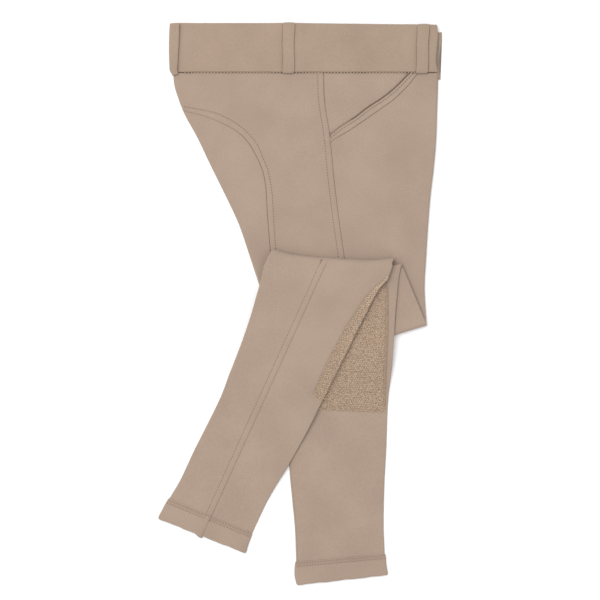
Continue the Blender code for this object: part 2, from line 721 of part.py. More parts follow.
def hidden_layers():
    """The inner legs between the thighs, and the right return inside the left one."""
    rows = panel_rows(203.0, -12.0) + [fold_row(5.0)]

    def edge(row, x):
        return (x, row["y"] + row["slope"] * (x - row["side"]))

    backs = [edge(row, row["back"] + 4.5) for row in rows[::2]]
    fronts = [edge(row, row["front"] - 4.5) for row in rows[::2]]
    floor, roof = CLOTH + GAP, BODY_HEIGHT - CLOTH - GAP
    middle = (floor + roof) / 2
    edge_levels = [(floor, 1.0), (floor + 0.3, 0.1), (middle - 0.3, 0.0), (middle, 0.8),
                   (middle + 0.3, 0.0), (roof - 0.3, 0.1), (roof, 1.0)]
    slab("hidden_thigh_layers", backs[::-1] + fronts, edge_levels)
    floor, roof = BODY_HEIGHT + GAP, RETURN_TOP - CLOTH - GAP
    layer = (roof - floor) / 3
    levels = []
    for k in range(3):
        low = floor + k * layer
        levels += [(low, 1.0 + 0.4 * k), (low + 0.3 * layer, 0.1 + 0.4 * k),
                   (low + 0.8 * layer, 0.0 + 0.4 * k)]
    levels.append((roof, 1.8))
    lower_back = between(*LOWER_FOLD, 0.05)
    lower_front = between(*LOWER_FOLD, 0.965)
    upper_back = (-12.5, 14.0)
    upper_front = between(*LEFT_TOP_FOLD, 0.975)
    up = (-0.29, 0.957)
    outline = [(lower_back[0] + 4.5 * up[0], lower_back[1] + 4.5 * up[1]),
               between(lower_back, upper_back, 0.5), upper_back,
               (upper_front[0] - 0.5, upper_front[1] - 4.5),
               between(lower_front, upper_front, 0.5),
               (lower_front[0] + 4.5 * up[0], lower_front[1] + 4.5 * up[1])]
    slab("hidden_fold_layers", outline, levels)


def main():
    for item in list(bpy.data.objects):
        bpy.data.objects.remove(item, do_unlink=True)
    breeches = bpy.data.collections.new("riding_breeches")
    bpy.context.scene.collection.children.link(breeches)
    for right in (True, False):
        body_panels(right)
        waistband(right)
        half = "right" if right else "left"
        for name, top, foot in LOOPS:
            belt_loop(f"belt_loop_{half}_{name}", top, foot, right)
    back_loop()
    hidden_layers()
    left_return()
    left_leg()
    right_leg()


main()
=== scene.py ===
"""Riding breeches, folded flat: the finished look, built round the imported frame.

The garment lies on its left side with both legs folded back over the thighs. From the floor up its
layers are left thigh, right thigh, right return, left return, left lower leg, right lower leg.
Sizes and tables are in millimetres: +X is the front of the garment, +Y its waistband, +Z up.
"""

import math

import bmesh
import bpy
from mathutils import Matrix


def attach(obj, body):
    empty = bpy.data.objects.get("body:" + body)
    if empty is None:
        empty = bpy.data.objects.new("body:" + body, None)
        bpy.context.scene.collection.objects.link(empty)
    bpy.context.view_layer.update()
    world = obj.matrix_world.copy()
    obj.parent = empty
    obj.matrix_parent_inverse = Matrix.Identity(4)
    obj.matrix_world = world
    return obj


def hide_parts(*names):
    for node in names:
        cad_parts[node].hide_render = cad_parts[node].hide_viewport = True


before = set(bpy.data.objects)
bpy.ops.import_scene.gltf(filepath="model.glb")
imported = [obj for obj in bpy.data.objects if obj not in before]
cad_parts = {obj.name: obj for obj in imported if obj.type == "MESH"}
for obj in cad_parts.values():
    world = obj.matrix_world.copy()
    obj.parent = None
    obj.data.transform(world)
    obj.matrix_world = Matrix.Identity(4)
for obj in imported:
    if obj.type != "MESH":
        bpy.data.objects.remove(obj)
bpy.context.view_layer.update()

MM = 0.001

# Sizes of the cloth and of the stack
CLOTH = 0.8               # one layer of stretch twill
PATCH = 0.8               # knee-patch suede
LEG_TUBE = 2.4            # height of a flattened leg
BODY_HEIGHT = 4.6         # both thighs, pressed flat
BAND_HEIGHT = 5.4         # both halves of the waistband
BAND_WALL = 1.9           # folded and interfaced waistband
BAND_TOP = 309.3
BAND_SEAM = 255.2
LOOP_CLOTH = 1.1
LOOP_WIDTH = 13.4
LOOP_TOP = 310.0
LOOP_FOOT = 254.2
LOOP_LIFT = 1.3           # the band rises this much over the loops that it lies on
HEM_TUBE = 3.4
HEM_WALL = 1.3
RETURN_TOP = 9.0          # upper face of the left return
LEFT_LEG_REST = 9.3       # underside of the left lower leg on the fold
RIGHT_LEG_REST = 14.2     # underside of the right lower leg on the fold
INSEAM_IN = 1.7           # from the back edge to the inseam, less than in the CAD
SEAT_SEAM_TOP = 213.5
SEAM_GAP = 0.04           # half the width of the ditch between two panels
ROW_STEP = 3.0            # spacing of the sections down the garment
COLUMN_STEP = 3.2         # spacing of the points across a panel
FELL = 6.6                # width of a felled seam, from the seam to its topstitching

# Body outline: the centre-back edge and the centre-front edge at each height.
BODY = [
    # (y, back, front)
    (258.0, -139.8, 151.8), (248.0, -139.7, 151.6), (239.8, -138.6, 151.4), (228.5, -135.2, 151.1),
    (212.0, -129.0, 150.6), (184.0, -113.9, 149.8), (149.5, -97.4, 147.0), (120.0, -82.8, 143.5),
    (87.0, -67.5, 140.8), (49.5, -54.8, 138.5), (20.0, -45.0, 136.9), (-8.0, -35.0, 137.4),
    (-25.0, -29.0, 139.4), (-75.0, -11.0, 141.0),
]
SEAT_SEAM = [
    # (y, x)
    (213.5, -129.5), (212.2, -127.6), (210.6, -120.5), (208.8, -112.6), (201.5, -91.7),
    (193.8, -76.3), (185.7, -64.7), (174.1, -54.8), (158.7, -46.6), (145.0, -41.1),
    (127.4, -37.8), (106.5, -36.7), (85.6, -35.2), (61.9, -33.1), (-75.0, 2.0),
]
SEAT_STITCH = [
    # (y, x)
    (217.6, -129.5), (214.3, -112.6), (211.0, -95.5), (203.3, -78.5), (196.7, -67.5),
    (186.8, -56.5), (175.8, -47.7), (160.4, -41.1), (145.0, -35.2), (121.9, -31.2),
    (106.5, -30.1), (85.6, -29.0), (64.7, -27.5), (-60.0, 6.5),
]
SIDE_SEAM = [
    # (y, x)
    (255.0, 25.6), (233.0, 26.0), (214.8, 27.9), (189.6, 32.0), (171.4, 34.0),
    (147.2, 36.2), (123.0, 38.8), (97.7, 42.0), (65.8, 46.5), (50.7, 48.6), (-75.0, 62.0),
]
POCKET_OPENING = [
    # (y, x)
    (258.0, 124.6), (255.0, 121.7), (247.3, 114.6), (236.3, 103.4), (226.4, 90.9), (216.5, 75.5),
    (204.4, 59.8), (195.6, 45.8), (185.7, 33.2), (180.0, 26.0),
]
POCKET_BINDING = [
    # (y, x)
    (258.0, 133.2), (253.0, 128.5), (243.0, 120.6), (235.6, 113.7), (225.1, 102.7), (216.1, 90.1),
    (199.9, 66.9), (188.8, 50.1), (179.8, 34.8), (172.0, 26.0),
]
BAND_FRONT_RIGHT = [
    # (y, x)
    (255.0, 151.7), (268.2, 149.4), (285.8, 150.7), (299.0, 151.8), (306.7, 151.0), (309.3, 150.4),
]
BAND_FRONT_LEFT = [
    # (y, x)
    (255.0, 154.8), (264.0, 153.4), (272.0, 153.0), (282.0, 153.7), (294.0, 155.2), (304.0, 156.5),
    (309.3, 156.1),
]

# The lower fold runs through these two points, and the top fold of each leg through these.
LOWER_FOLD = ((-13.0, -70.0), (139.6, -23.9))
LEFT_TOP_FOLD = ((-15.8, 18.5), (111.4, 44.4))
RIGHT_TOP_FOLD = ((-31.2, 60.8), (103.4, 50.9))
FOLD_STACK = [(-31.2, 60.8), (103.4, 50.9), (111.4, 44.4), (139.6, -23.9), (-13.0, -70.0)]
LEFT_LEG_PLAN = [(-15.8, 18.5), (111.4, 44.4), (97.0, -300.0), (-6.0, -310.0), (-14.7, -73.0)]

# Lower legs: distances down the leg from its origin, and out from its axis, for both its edges.
RIGHT_LEG_ORIGIN = (30.8, 49.1)
RIGHT_LEG_LEAN = 24.41     # degrees towards the back
RIGHT_LEG = [
    # (back_down, back, front_down, front)
    (15.0, -61.5, -30.5, 66.5), (34.0, -61.5, -9.0, 68.2), (46.0, -59.3, 5.0, 64.3),
    (58.0, -57.0, 20.0, 62.5), (70.0, -55.3, 35.0, 62.0), (83.0, -53.3, 51.0, 61.0),
    (96.0, -51.6, 67.0, 60.6), (110.0, -50.2, 84.0, 60.2), (123.0, -49.0, 101.0, 59.4),
    (137.0, -48.2, 118.0, 58.8), (150.0, -47.5, 133.0, 58.6), (161.0, -47.0, 147.0, 58.4),
    (190.0, -45.3, 183.0, 57.2), (228.0, -46.5, 226.0, 53.8), (256.0, -47.6, 255.0, 50.2),
    (284.0, -47.8, 283.0, 48.6), (314.8, -50.8, 311.4, 48.4),
]
RIGHT_HEM = [
    # (back_down, back, front_down, front)
    (313.0, -51.9, 309.6, 49.0), (325.5, -52.6, 321.3, 49.6), (338.0, -53.2, 333.0, 51.2),
]
LEFT_LEG_ORIGIN = (44.0, 44.4)
LEFT_LEG_LEAN = 0.0
LEFT_LEG = [
    # (back_down, back, front_down, front)
    (25.9, -59.8, 0.0, 67.4), (42.0, -59.8, 18.0, 64.0), (60.0, -59.6, 37.0, 62.2),
    (78.0, -59.3, 56.0, 60.6), (96.0, -59.0, 78.0, 59.2), (112.0, -58.8, 96.0, 58.0),
    (126.0, -58.5, 112.0, 57.1), (141.0, -58.2, 127.0, 55.4), (155.0, -57.8, 142.0, 53.6),
    (178.0, -57.3, 164.5, 52.0), (221.0, -56.3, 205.0, 50.6), (262.0, -52.8, 248.0, 48.4),
    (295.0, -49.8, 284.0, 47.7), (330.8, -48.5, 322.0, 48.9),
]
LEFT_HEM = [
    # (back_down, back, front_down, front)
    (329.0, -49.9, 320.3, 50.0), (341.5, -50.6, 331.6, 50.8), (354.6, -48.4, 343.4, 52.6),
]
RIGHT_PATCH = [
    # (front_down, reach in from the front edge)
    (-9.0, 0.4), (12.0, 5.4), (31.0, 9.5), (50.0, 11.6), (69.0, 12.9), (91.0, 13.4), (147.0, 11.8),
]
RIGHT_PATCH_ROWS = (1.0, 10.75)
LEFT_PATCH_FRONT = [
    # (front_down, inside the front edge)
    (0.0, 14.0), (18.0, 12.0), (37.0, 9.6), (80.0, 6.6), (112.0, 6.1), (139.0, 3.4), (165.0, 1.8),
]
LEFT_PATCH_BACK = 9.0
LEFT_PATCH_ROWS = (1.0, 9.0)
LOOPS = [
    # (name, x at the top, x at the foot)
    ("back", -12.8, -13.4),
    ("front", 135.4, 133.8),
]

# Main creases: soft troughs (below 0) and ridges, each from one end to the other.
RIGHT_BODY_CREASES = [
    # (x, y, x, y, height, half width)
    (80.0, 249.0, 86.0, 228.0, -0.45, 3.2), (88.0, 250.0, 97.0, 234.0, 0.35, 3.0),
    (97.0, 252.0, 106.0, 242.0, -0.40, 2.6), (60.0, 247.0, 70.0, 224.0, 0.22, 5.0),
    (-126.0, 244.0, -60.0, 240.0, 0.20, 6.0), (-20.0, 246.0, 12.0, 244.0, -0.16, 5.0),
    (-98.0, 160.0, -52.0, 118.0, 0.20, 7.0), (-76.0, 112.0, -44.0, 84.0, -0.18, 6.0),
    (134.0, 206.0, 92.0, 168.0, 0.22, 9.0), (141.0, 150.0, 96.0, 112.0, -0.22, 8.0),
    (62.0, 128.0, 126.0, 92.0, 0.20, 9.0), (-8.0, 200.0, 10.0, 128.0, -0.16, 9.0),
    (136.0, 84.0, 112.0, 60.0, -0.30, 5.0), (-12.0, 96.0, 26.0, 74.0, 0.22, 6.0),
]
LEFT_BODY_CREASES = [
    # (x, y, x, y, height, half width)
    (76.0, 248.0, 84.0, 226.0, 0.40, 3.4), (92.0, 250.0, 99.0, 236.0, -0.30, 3.0),
    (-118.0, 238.0, -58.0, 226.0, 0.25, 7.0), (-92.0, 150.0, -40.0, 104.0, -0.24, 7.0),
    (138.0, 196.0, 90.0, 150.0, -0.26, 9.0), (56.0, 120.0, 122.0, 78.0, 0.24, 8.0),
    (-6.0, 190.0, 14.0, 116.0, 0.18, 8.0), (-36.0, 60.0, 44.0, 32.0, -0.26, 6.0),
    (58.0, 30.0, 118.0, 8.0, 0.22, 6.0),
]
RIGHT_LEG_CREASES = [
    # (x, y, x, y, height, half width)
    (-26.0, 44.0, 6.0, 6.0, 0.22, 6.0), (92.0, 40.0, 66.0, 16.0, -0.24, 5.0),
    (28.0, -6.0, 8.0, -62.0, 0.18, 7.0), (-56.0, -66.0, -40.0, -120.0, -0.20, 7.0),
    (24.0, -96.0, -4.0, -128.0, 0.24, 6.0), (-86.0, -168.0, -60.0, -206.0, 0.18, 7.0),
    (-18.0, -160.0, -44.0, -214.0, -0.20, 8.0), (-96.0, -226.0, -62.0, -240.0, 0.16, 5.0),
]
LEFT_LEG_CREASES = [
    # (x, y, x, y, height, half width)
    (70.0, -128.0, 40.0, -150.0, 0.22, 6.0), (20.0, -150.0, 34.0, -214.0, -0.20, 8.0),
    (86.0, -168.0, 60.0, -226.0, 0.20, 8.0), (10.0, -236.0, 44.0, -258.0, 0.16, 5.0),
    (88.0, -238.0, 70.0, -262.0, -0.18, 5.0),
]


# Floor, light and camera, in metres except for the floor's height
FLOOR = -0.05              # just under the lowest cloth
SURROUND = 0.92
LAMP_SIZE = 1.8
LAMP_POWER = 37.0
LAMP_PLACE = (-0.75, 0.5, 2.35)
CAMERA_HEIGHT = 3.0
CLOTH_HEIGHT = 0.009       # the view's width is taken at this height
VIEW_WIDTH = 0.66
VIEW_CENTRE = (-0.0004, 0.0042)

# Each piece of cloth, the CAD solid that it stands for, and its cut as far as it shows, laid flat.
# The areas were read once off these pieces' own meshes and rounded, not taken from a pattern, so
# that they agree with the meshes is no evidence of how much cloth the real garment has.
CLOTH_PIECES = [
    # (piece, CAD solid, width, length, area in square cm)
    ("waistband_right_half", "waistband_right", 300, 55, 159.7),
    ("waistband_left_half", "waistband_left", 305, 55, 161.7),
    ("belt_loop_back_middle", "belt_loop_center_back", 30, 58, 14.4),
    ("belt_loop_right_back_strap", "belt_loop_right_back", 15.5, 57, 8.6),
    ("belt_loop_right_front_strap", "belt_loop_right_front", 15.5, 56, 8.4),
    ("belt_loop_left_back_strap", "belt_loop_left_back", 15.5, 57, 8.6),
    ("belt_loop_left_front_strap", "belt_loop_left_front", 15.5, 56, 8.4),
    ("right_back_panel", "right_back", 165, 322, 293.1),
    ("right_seat_panel", "right_seat", 75, 285, 91.1),
    ("right_front_panel", "right_front", 124, 305, 255.1),
    ("right_pocket_bag", "right_pocket_facing", 98, 72, 41.8),
    ("right_pocket_edge", "right_pocket_binding", 10.5, 130, 9.9),
    ("left_back_panel", "left_back", 165, 315, 286.6),
    ("left_seat_panel", "left_seat", 75, 280, 89.8),
    ("left_front_panel", "left_front", 124, 298, 245.6),
    ("left_pocket_bag", "left_pocket_facing", 97, 72, 41.2),
    ("left_pocket_edge", "left_pocket_binding", 10.5, 125, 9.3),
    ("inner_thigh_layers", "hidden_thigh_layers", 238, 267, 508.9),
    ("inner_fold_layers", "hidden_fold_layers", 128, 103, 104.8),
    ("left_knee_return", "left_front_return", 157, 111, 138.8),
    ("right_calf_back", "right_back_lower", 75, 332, 170.2),
    ("right_calf_front", "right_front_lower", 185, 340, 541.0),
    ("right_ankle_hem", "right_hem", 215, 27, 52.0),
    ("right_knee_suede", "right_knee_patch", 66, 150, 77.2),
    ("left_calf_back", "left_back_lower", 75, 335, 170.4),
    ("left_calf_front", "left_front_lower", 180, 345, 524.9),
    ("left_ankle_hem", "left_hem", 215, 27, 49.0),
    ("left_knee_suede", "left_knee_patch", 105, 150, 135.8),
]

# Reading the tables

def curve(rows, at, column=1):
    """The column's value at a height, on a smooth curve through the rows."""
    rows = sorted(rows)
    keys = [row[0] for row in rows]
    values = [row[column] for row in rows]
    at = min(max(at, keys[0]), keys[-1])
    i = max(k for k in range(len(keys) - 1) if keys[k] <= at)
    slopes = [(values[k + 1] - values[k]) / (keys[k + 1] - keys[k]) for k in range(len(keys) - 1)]

    def tangent(k):
        if k == 0:
            return slopes[0]
        if k == len(slopes):
            return slopes[-1]
        before, after = slopes[k - 1], slopes[k]
        return 0.0 if before * after <= 0 else 2 * before * after / (before + after)

    span = keys[i + 1] - keys[i]
    t = (at - keys[i]) / span
    return (
        (2 * t ** 3 - 3 * t ** 2 + 1) * values[i]
        + (t ** 3 - 2 * t ** 2 + t) * span * tangent(i)
        + (3 * t ** 2 - 2 * t ** 3) * values[i + 1]
        + (t ** 3 - t ** 2) * span * tangent(i + 1)
    )


def spaced(start, stop, count):
    """Evenly spaced numbers, ends included."""
    return [start + (stop - start) * k / (count - 1) for k in range(count)]


def ease(t):
    t = min(max(t, 0.0), 1.0)
    return t * t * (3 - 2 * t)


def hill(distance, width):
    """A soft bump of height 1 that fades over the width."""
    return math.exp(-(distance / width) ** 2)


def outside(plan, x, y):
    """How far a point is outside a convex plan whose corners run clockwise; 0 inside."""
    inside = True
    nearest = 1e9
    for (ax, ay), (bx, by) in zip(plan, plan[1:] + plan[:1]):
        dx, dy = bx - ax, by - ay
        if dx * (y - ay) - dy * (x - ax) > 0:
            inside = False
        along = min(max(((x - ax) * dx + (y - ay) * dy) / (dx * dx + dy * dy), 0.0), 1.0)
        nearest = min(nearest, math.hypot(x - ax - along * dx, y - ay - along * dy))
    return 0.0 if inside else nearest


def drape(plan, x, y, height, shelf, reach):
    """Height of cloth that leaves a stack's edge: level for a shelf, then down over its reach."""
    return height * (1 - ease((outside(plan, x, y) - shelf) / reach))


def left_leg_base(x, y):
    return drape(FOLD_STACK, x, y, LEFT_LEG_REST, 6, 60)


def right_leg_base(x, y):
    over_left = left_leg_base(x, y) + LEG_TUBE + 0.3 + 3.2 * ease((y + 165) / 40)
    over_left *= 1 - ease((outside(LEFT_LEG_PLAN, x, y) - 8) / 20)
    return max(drape(FOLD_STACK, x, y, RIGHT_LEG_REST, 8, 75), over_left)


# Relief of the cloth: creases, seams and the slow unevenness of cloth laid down by hand

def creases(table, x, y):
    """Height of the creases: widest and highest part way along, fading to both ends."""
    total = 0.0
    for ax, ay, bx, by, height, width in table:
        dx, dy = bx - ax, by - ay
        length = math.hypot(dx, dy)
        along = ((x - ax) * dx + (y - ay) * dy) / length ** 2
        if -0.3 < along < 1.3:
            bow = 0.07 * length * math.sin(3.1 * along)
            off = ((x - ax) * dy - (y - ay) * dx) / length + bow
            total += height * hill(off, width * (0.8 + 0.5 * along)) * hill(along - 0.45, 0.42)
    return total


def unevenness(x, y, phase=0.0):
    """Slow waves under half a millimetre high, 30 to 120 mm long."""
    return (
        0.14 * math.sin(x / 17.0 + 0.9 * math.sin(y / 41.0 + phase) + phase)
        * math.sin(y / 23.0 + 1.3 * math.sin(x / 37.0) - phase)
        + 0.08 * math.sin(x / 7.3 + y / 11.0 + 2 * phase) * math.sin(y / 9.1 - x / 19.0)
    )


def seam_path(table, first, last, step=1.5):
    """Plan points along a seam, from its highest to its lowest."""
    count = max(2, round((first - last) / step))
    return [(curve(table, y), y) for y in spaced(first, last, count)]


def beside(path, x, y):
    """Signed distance from a path: positive on the left of someone who walks down it."""
    best, side = 1e9, 1.0
    for (ax, ay), (bx, by) in zip(path, path[1:]):
        if abs(x - ax) > 24 or abs(y - ay) > 24:
            continue
        dx, dy = bx - ax, by - ay
        along = min(max(((x - ax) * dx + (y - ay) * dy) / (dx * dx + dy * dy), 0.0), 1.0)
        away = math.hypot(x - ax - along * dx, y - ay - along * dy)
        if away < best:
            best = away
            side = 1.0 if dx * (y - ay) - dy * (x - ax) > 0 else -1.0
    return best * side if best < 1e8 else 99.0


def felled(distance, depth=0.36):
    """Relief of a felled seam: a ditch, then a raised band up to its sunken topstitching."""
    if abs(distance) > 14:
        return 0.0
    ditch = -depth * hill(distance, 0.6)
    if distance <= 0:
        return ditch
    band = 0.4 * ease(distance / 2.0) * (1 - ease((distance - FELL) / 2.4))
    return ditch + band - 0.26 * hill(distance - FELL, 0.9)


SEAT_PATH = seam_path(SEAT_SEAM, 213.5, -70.0)
SIDE_PATH = seam_path(SIDE_SEAM, 255.0, -70.0)
OPENING_PATH = seam_path(POCKET_OPENING, 258.0, 184.0)
BINDING_PATH = seam_path(POCKET_BINDING, 258.0, 178.0)


def body_relief(x, y, right, part=""):
    """Relief of a thigh's outer face."""
    total = creases(RIGHT_BODY_CREASES if right else LEFT_BODY_CREASES, x, y)
    total += unevenness(x, y, 0.0 if right else 2.1)
    seat = beside(SEAT_PATH, x, y)
    total += felled(seat, 0.5)
    total += felled(-beside(SIDE_PATH, x, y))
    opening = beside(OPENING_PATH, x, y)
    binding = beside(BINDING_PATH, x, y)
    if part == "bag" and opening > -40:
        total -= 0.5 * (hill(opening, 5.0) if opening < 0 else 1.0) + 1.7 * hill(opening + 0.2, 0.85)
    elif opening >= 0 and binding <= 0:
        total += 0.6 + 0.25 * hill(opening - 0.7, 0.7) - 0.3 * hill(opening - 2.8, 0.7)
    if abs(binding) < 6:
        total -= 0.4 * hill(binding, 0.55)
    top = BAND_SEAM - y
    total += 0.6 * (1 - ease(top / 7.0)) - 0.5 * hill(top - 0.6, 0.5)
    total += 0.14 * hill(top - 3.0, 2.6) * math.sin(x / 1.6 + 2 * math.sin(x / 13))
    return total


# Making meshes

PIECES = []


def new_piece(name, points, faces, material, smooth=True):
    """An object at the origin from points in millimetres, with its normals outwards."""
    mesh = bpy.data.meshes.new(name)
    mesh.from_pydata([tuple(c * MM for c in p) for p in points], [], faces)
    mesh.validate()
    mesh.materials.append(material)
    if smooth:
        mesh.polygons.foreach_set("use_smooth", [True] * len(mesh.polygons))
    piece = bpy.data.objects.new(name, mesh)
    bpy.context.scene.collection.objects.link(piece)
    PIECES.append(piece)
    return piece


def grid_faces(rows, columns, ring=False, loop=False, flip=False):
    """Quads of a grid: ring joins each row's ends, loop joins the last row to the first."""
    faces = []
    for r in range(rows if loop else rows - 1):
        for c in range(columns if ring else columns - 1):
            d, s = (c + 1) % columns, (r + 1) % rows
            face = (r * columns + c, s * columns + c, s * columns + d, r * columns + d)
            faces.append(face[::-1] if flip else face)
    return faces


def cloth(name, rows, thickness, material, flip=False):
    """A thin shell of cloth behind a grid of points on its outer face."""
    points = [p for row in rows for p in row]
    piece = new_piece(name, points, grid_faces(len(rows), len(rows[0]), flip=flip), material)
    wall = piece.modifiers.new("wall", "SOLIDIFY")
    wall.thickness = thickness * MM
    wall.offset = -1
    return piece


def closed(name, rows, material, caps=False):
    """A solid whose rows are rings of points: a torus, or a tube with its two ends capped."""
    width = len(rows[0])
    points = [p for row in rows for p in row]
    faces = grid_faces(len(rows), width, ring=True, loop=not caps)
    if caps:
        faces += [tuple(range(width)), tuple(range(len(points) - width, len(points)))[::-1]]
    piece = new_piece(name, points, faces, material)
    shape = bmesh.new()
    shape.from_mesh(piece.data)
    bmesh.ops.recalc_face_normals(shape, faces=shape.faces)
    shape.to_mesh(piece.data)
    shape.free()
    return piece


# Thighs: each is one half of the garment, lying flat

def row_slope(y):
    """Sections tilt gradually, until the last one lies along the lower fold."""
    (ax, ay), (bx, by) = LOWER_FOLD
    return (by - ay) / (bx - ax) * ease((90 - y) / 120)


def meet_outline(y, slope, side, back, front):
    """A section's ends, where its slope brings it to the outline."""
    for _ in range(4):
        back = curve(BODY, y + slope * (back - side))
        front = curve(BODY, y + slope * (front - side), 2)
    return {"y": y, "slope": slope, "side": side, "back": back, "front": front}


def body_row(y):
    return meet_outline(y, row_slope(y), curve(SIDE_SEAM, y), curve(BODY, y), curve(BODY, y, 2))


def fold_row(inside):
    """The section that lies a given distance above the lower fold."""
    (ax, ay), (bx, by) = LOWER_FOLD
    slope = (by - ay) / (bx - ax)
    side = curve(SIDE_SEAM, -50)
    y = ay + slope * (side - ax) + inside * math.hypot(1, slope)
    return meet_outline(y, slope, side, -25.0, 139.0)


def body_rows(right, extra):
    """Sections from the waist seam to the lower fold."""
    heights = [256.8, 255.6, 254.7, 253.6, 252.0, 250.0]
    heights += spaced(247.5, -12.0, round(259.5 / ROW_STEP))
    heights = sorted(set(heights + extra), reverse=True)
    rows = [body_row(y) for y in heights]
    last = fold_row(3.0 if right else 11.0)
    for share in spaced(0.0, 1.0, 14)[1:]:
        rows.append({key: rows[len(heights) - 1][key] * (1 - share) + last[key] * share for key in last})
    return rows


def seam_x(table, row):
    """Where a seam crosses a section."""
    x = curve(table, row["y"])
    for _ in range(4):
        x = curve(table, row["y"] + row["slope"] * (x - row["side"]))
    return x


def front_sag(x, y):
    """The under half slips down a little at the centre front."""
    return 8.0 * ease((x - 96) / 50) * ease((y - 170) / 90)


def body_face(row, x, right, part=""):
    """A point on the outer face of the right (upper) or left (lower) half at x in a section."""
    radius = BODY_HEIGHT / 2
    y = row["y"] + row["slope"] * (x - row["side"])
    inside = min(max(min(x - row["back"], row["front"] - x), 0.0), radius)
    bulge = math.sqrt(max(1 - (1 - inside / radius) ** 2, 0.0))
    relief = body_relief(x, min(y, 254.6), right, part) * ease(inside / radius)
    relief -= 1.5 * ease((y - 254.9) / 0.7)
    if not right:
        relief = min(relief, 0.0) * 0.9 - 0.02
    rise = 0.1 + (radius - 0.1) * bulge + relief
    if not right:
        y -= front_sag(x, y)
    return (x, y, radius + rise if right else radius - rise)


ROLL_ANGLES = (0, 18, 36, 54, 72, 90)
SEAM_STEPS = (0.0, 0.35, 0.8, 1.4, 2.4)


def columns(row, start, stop, count):
    """Points across a panel, closer together at its seams and where it rolls over the edge."""
    radius = BODY_HEIGHT / 2
    width = stop - start
    roll = [radius * (1 - math.cos(math.radians(a))) for a in ROLL_ANGLES]
    fine = [s * min(1.0, width / 14) for s in SEAM_STEPS]
    starts = roll if abs(start - row["back"]) < 0.01 and width > 8 else None
    stops = roll if abs(stop - row["front"]) < 0.01 and width > 8 else None
    # Every section of a panel has as many points, so both kinds of edge take six.
    at_start = [start + s for s in (starts or fine + [4.0 * min(1.0, width / 14)])]
    at_stop = [stop - s for s in (stops or fine + [4.0 * min(1.0, width / 14)])][::-1]
    return at_start[:-1] + spaced(at_start[-1], at_stop[0], count) + at_stop[1:]


def panel(name, rows, start, stop, right, material, part=""):
    """One cut piece of a thigh, between its two seams in each section."""
    widest = max(stop(row) - start(row) for row in rows)
    count = max(3, round(widest / COLUMN_STEP))
    grid = [[body_face(row, x, right, part) for x in columns(row, start(row), stop(row), count)]
            for row in rows]
    return cloth(name, grid, CLOTH, material, flip=not right)


def body_panels(right, material):
    half = "right" if right else "left"
    rows = body_rows(right, [SEAT_SEAM_TOP + 0.8, SEAT_SEAM_TOP, 212.2, 193.0, 180.0])

    def to_side(row):
        return seam_x(SIDE_SEAM, row)

    def back_start(row):
        return row["back"] if row["y"] > SEAT_SEAM_TOP else seam_x(SEAT_SEAM, row) + SEAM_GAP

    def front_start(row):
        return max(to_side(row), curve(POCKET_BINDING, row["y"])) + SEAM_GAP

    below = [row for row in rows if row["y"] <= SEAT_SEAM_TOP]
    facing = [row for row in rows if row["y"] >= 184.0]
    bound = [row for row in rows if row["y"] >= 176.0]
    panel(f"{half}_back_panel", rows, back_start, lambda row: to_side(row) - SEAM_GAP, right, material)
    panel(f"{half}_seat_panel", below, lambda row: row["back"],
          lambda row: seam_x(SEAT_SEAM, row) - SEAM_GAP, right, material)
    panel(f"{half}_front_panel", rows, front_start, lambda row: row["front"], right, material)
    panel(f"{half}_pocket_bag", facing, lambda row: to_side(row) + SEAM_GAP,
          lambda row: max(curve(POCKET_OPENING, row["y"]), to_side(row) + 0.6) + 1.4, right, material,
          "bag")
    panel(f"{half}_pocket_edge", bound,
          lambda row: max(to_side(row) + SEAM_GAP, curve(POCKET_OPENING, row["y"])),
          lambda row: max(curve(POCKET_BINDING, row["y"]), to_side(row) + 1.2) - SEAM_GAP,
          right, material)


# Waistband and belt loops

def band_lift(x):
    """The band rises over the belt loops of the side that it lies on."""
    centres = [0.5 * (top + foot) for _, top, foot in LOOPS]
    near = [1 - ease((abs(x - c) - 0.5 * LOOP_WIDTH - 3) / 14) for c in centres]
    near.append(1 - ease((x + 139.7 - 13) / 14))
    return LOOP_LIFT * max(near)


def band_edge(y):
    """The centre-back edge of the band is straight, and swells a little at its middle."""
    return -140.6 - 0.6 * math.sin(math.pi * (y - BAND_SEAM) / (BAND_TOP - BAND_SEAM))


def top_drop(x, y):
    """The band's top edge runs down a little towards the front."""
    return 0.012 * max(x, 0.0) * ease((y - 275) / 20)


def back_loop_end(y):
    """The front edge of the centre-back loop, which slants back towards its foot."""
    return -135.6 + 2.7 * (y - 257.0) / 50


def band_profile():
    """The folded band's section: (height on the garment, depth under its outer face)."""
    up = [(BAND_SEAM + 0.7, 1.5), (BAND_SEAM + 0.1, 1.1), (BAND_SEAM, 0.7), (BAND_SEAM + 0.4, 0.25)]
    up += [(y, 0.0) for y in spaced(BAND_SEAM + 1.3, BAND_TOP - 1.4, 22)]
    up += [(BAND_TOP - 0.5, 0.2), (BAND_TOP - 0.1, 0.6), (BAND_TOP, 0.95), (BAND_TOP - 0.1, 1.3)]
    up += [(BAND_TOP - 0.5, 1.7)]
    return up + [(y, BAND_WALL) for y in spaced(BAND_TOP - 1.4, BAND_SEAM + 1.5, 8)]


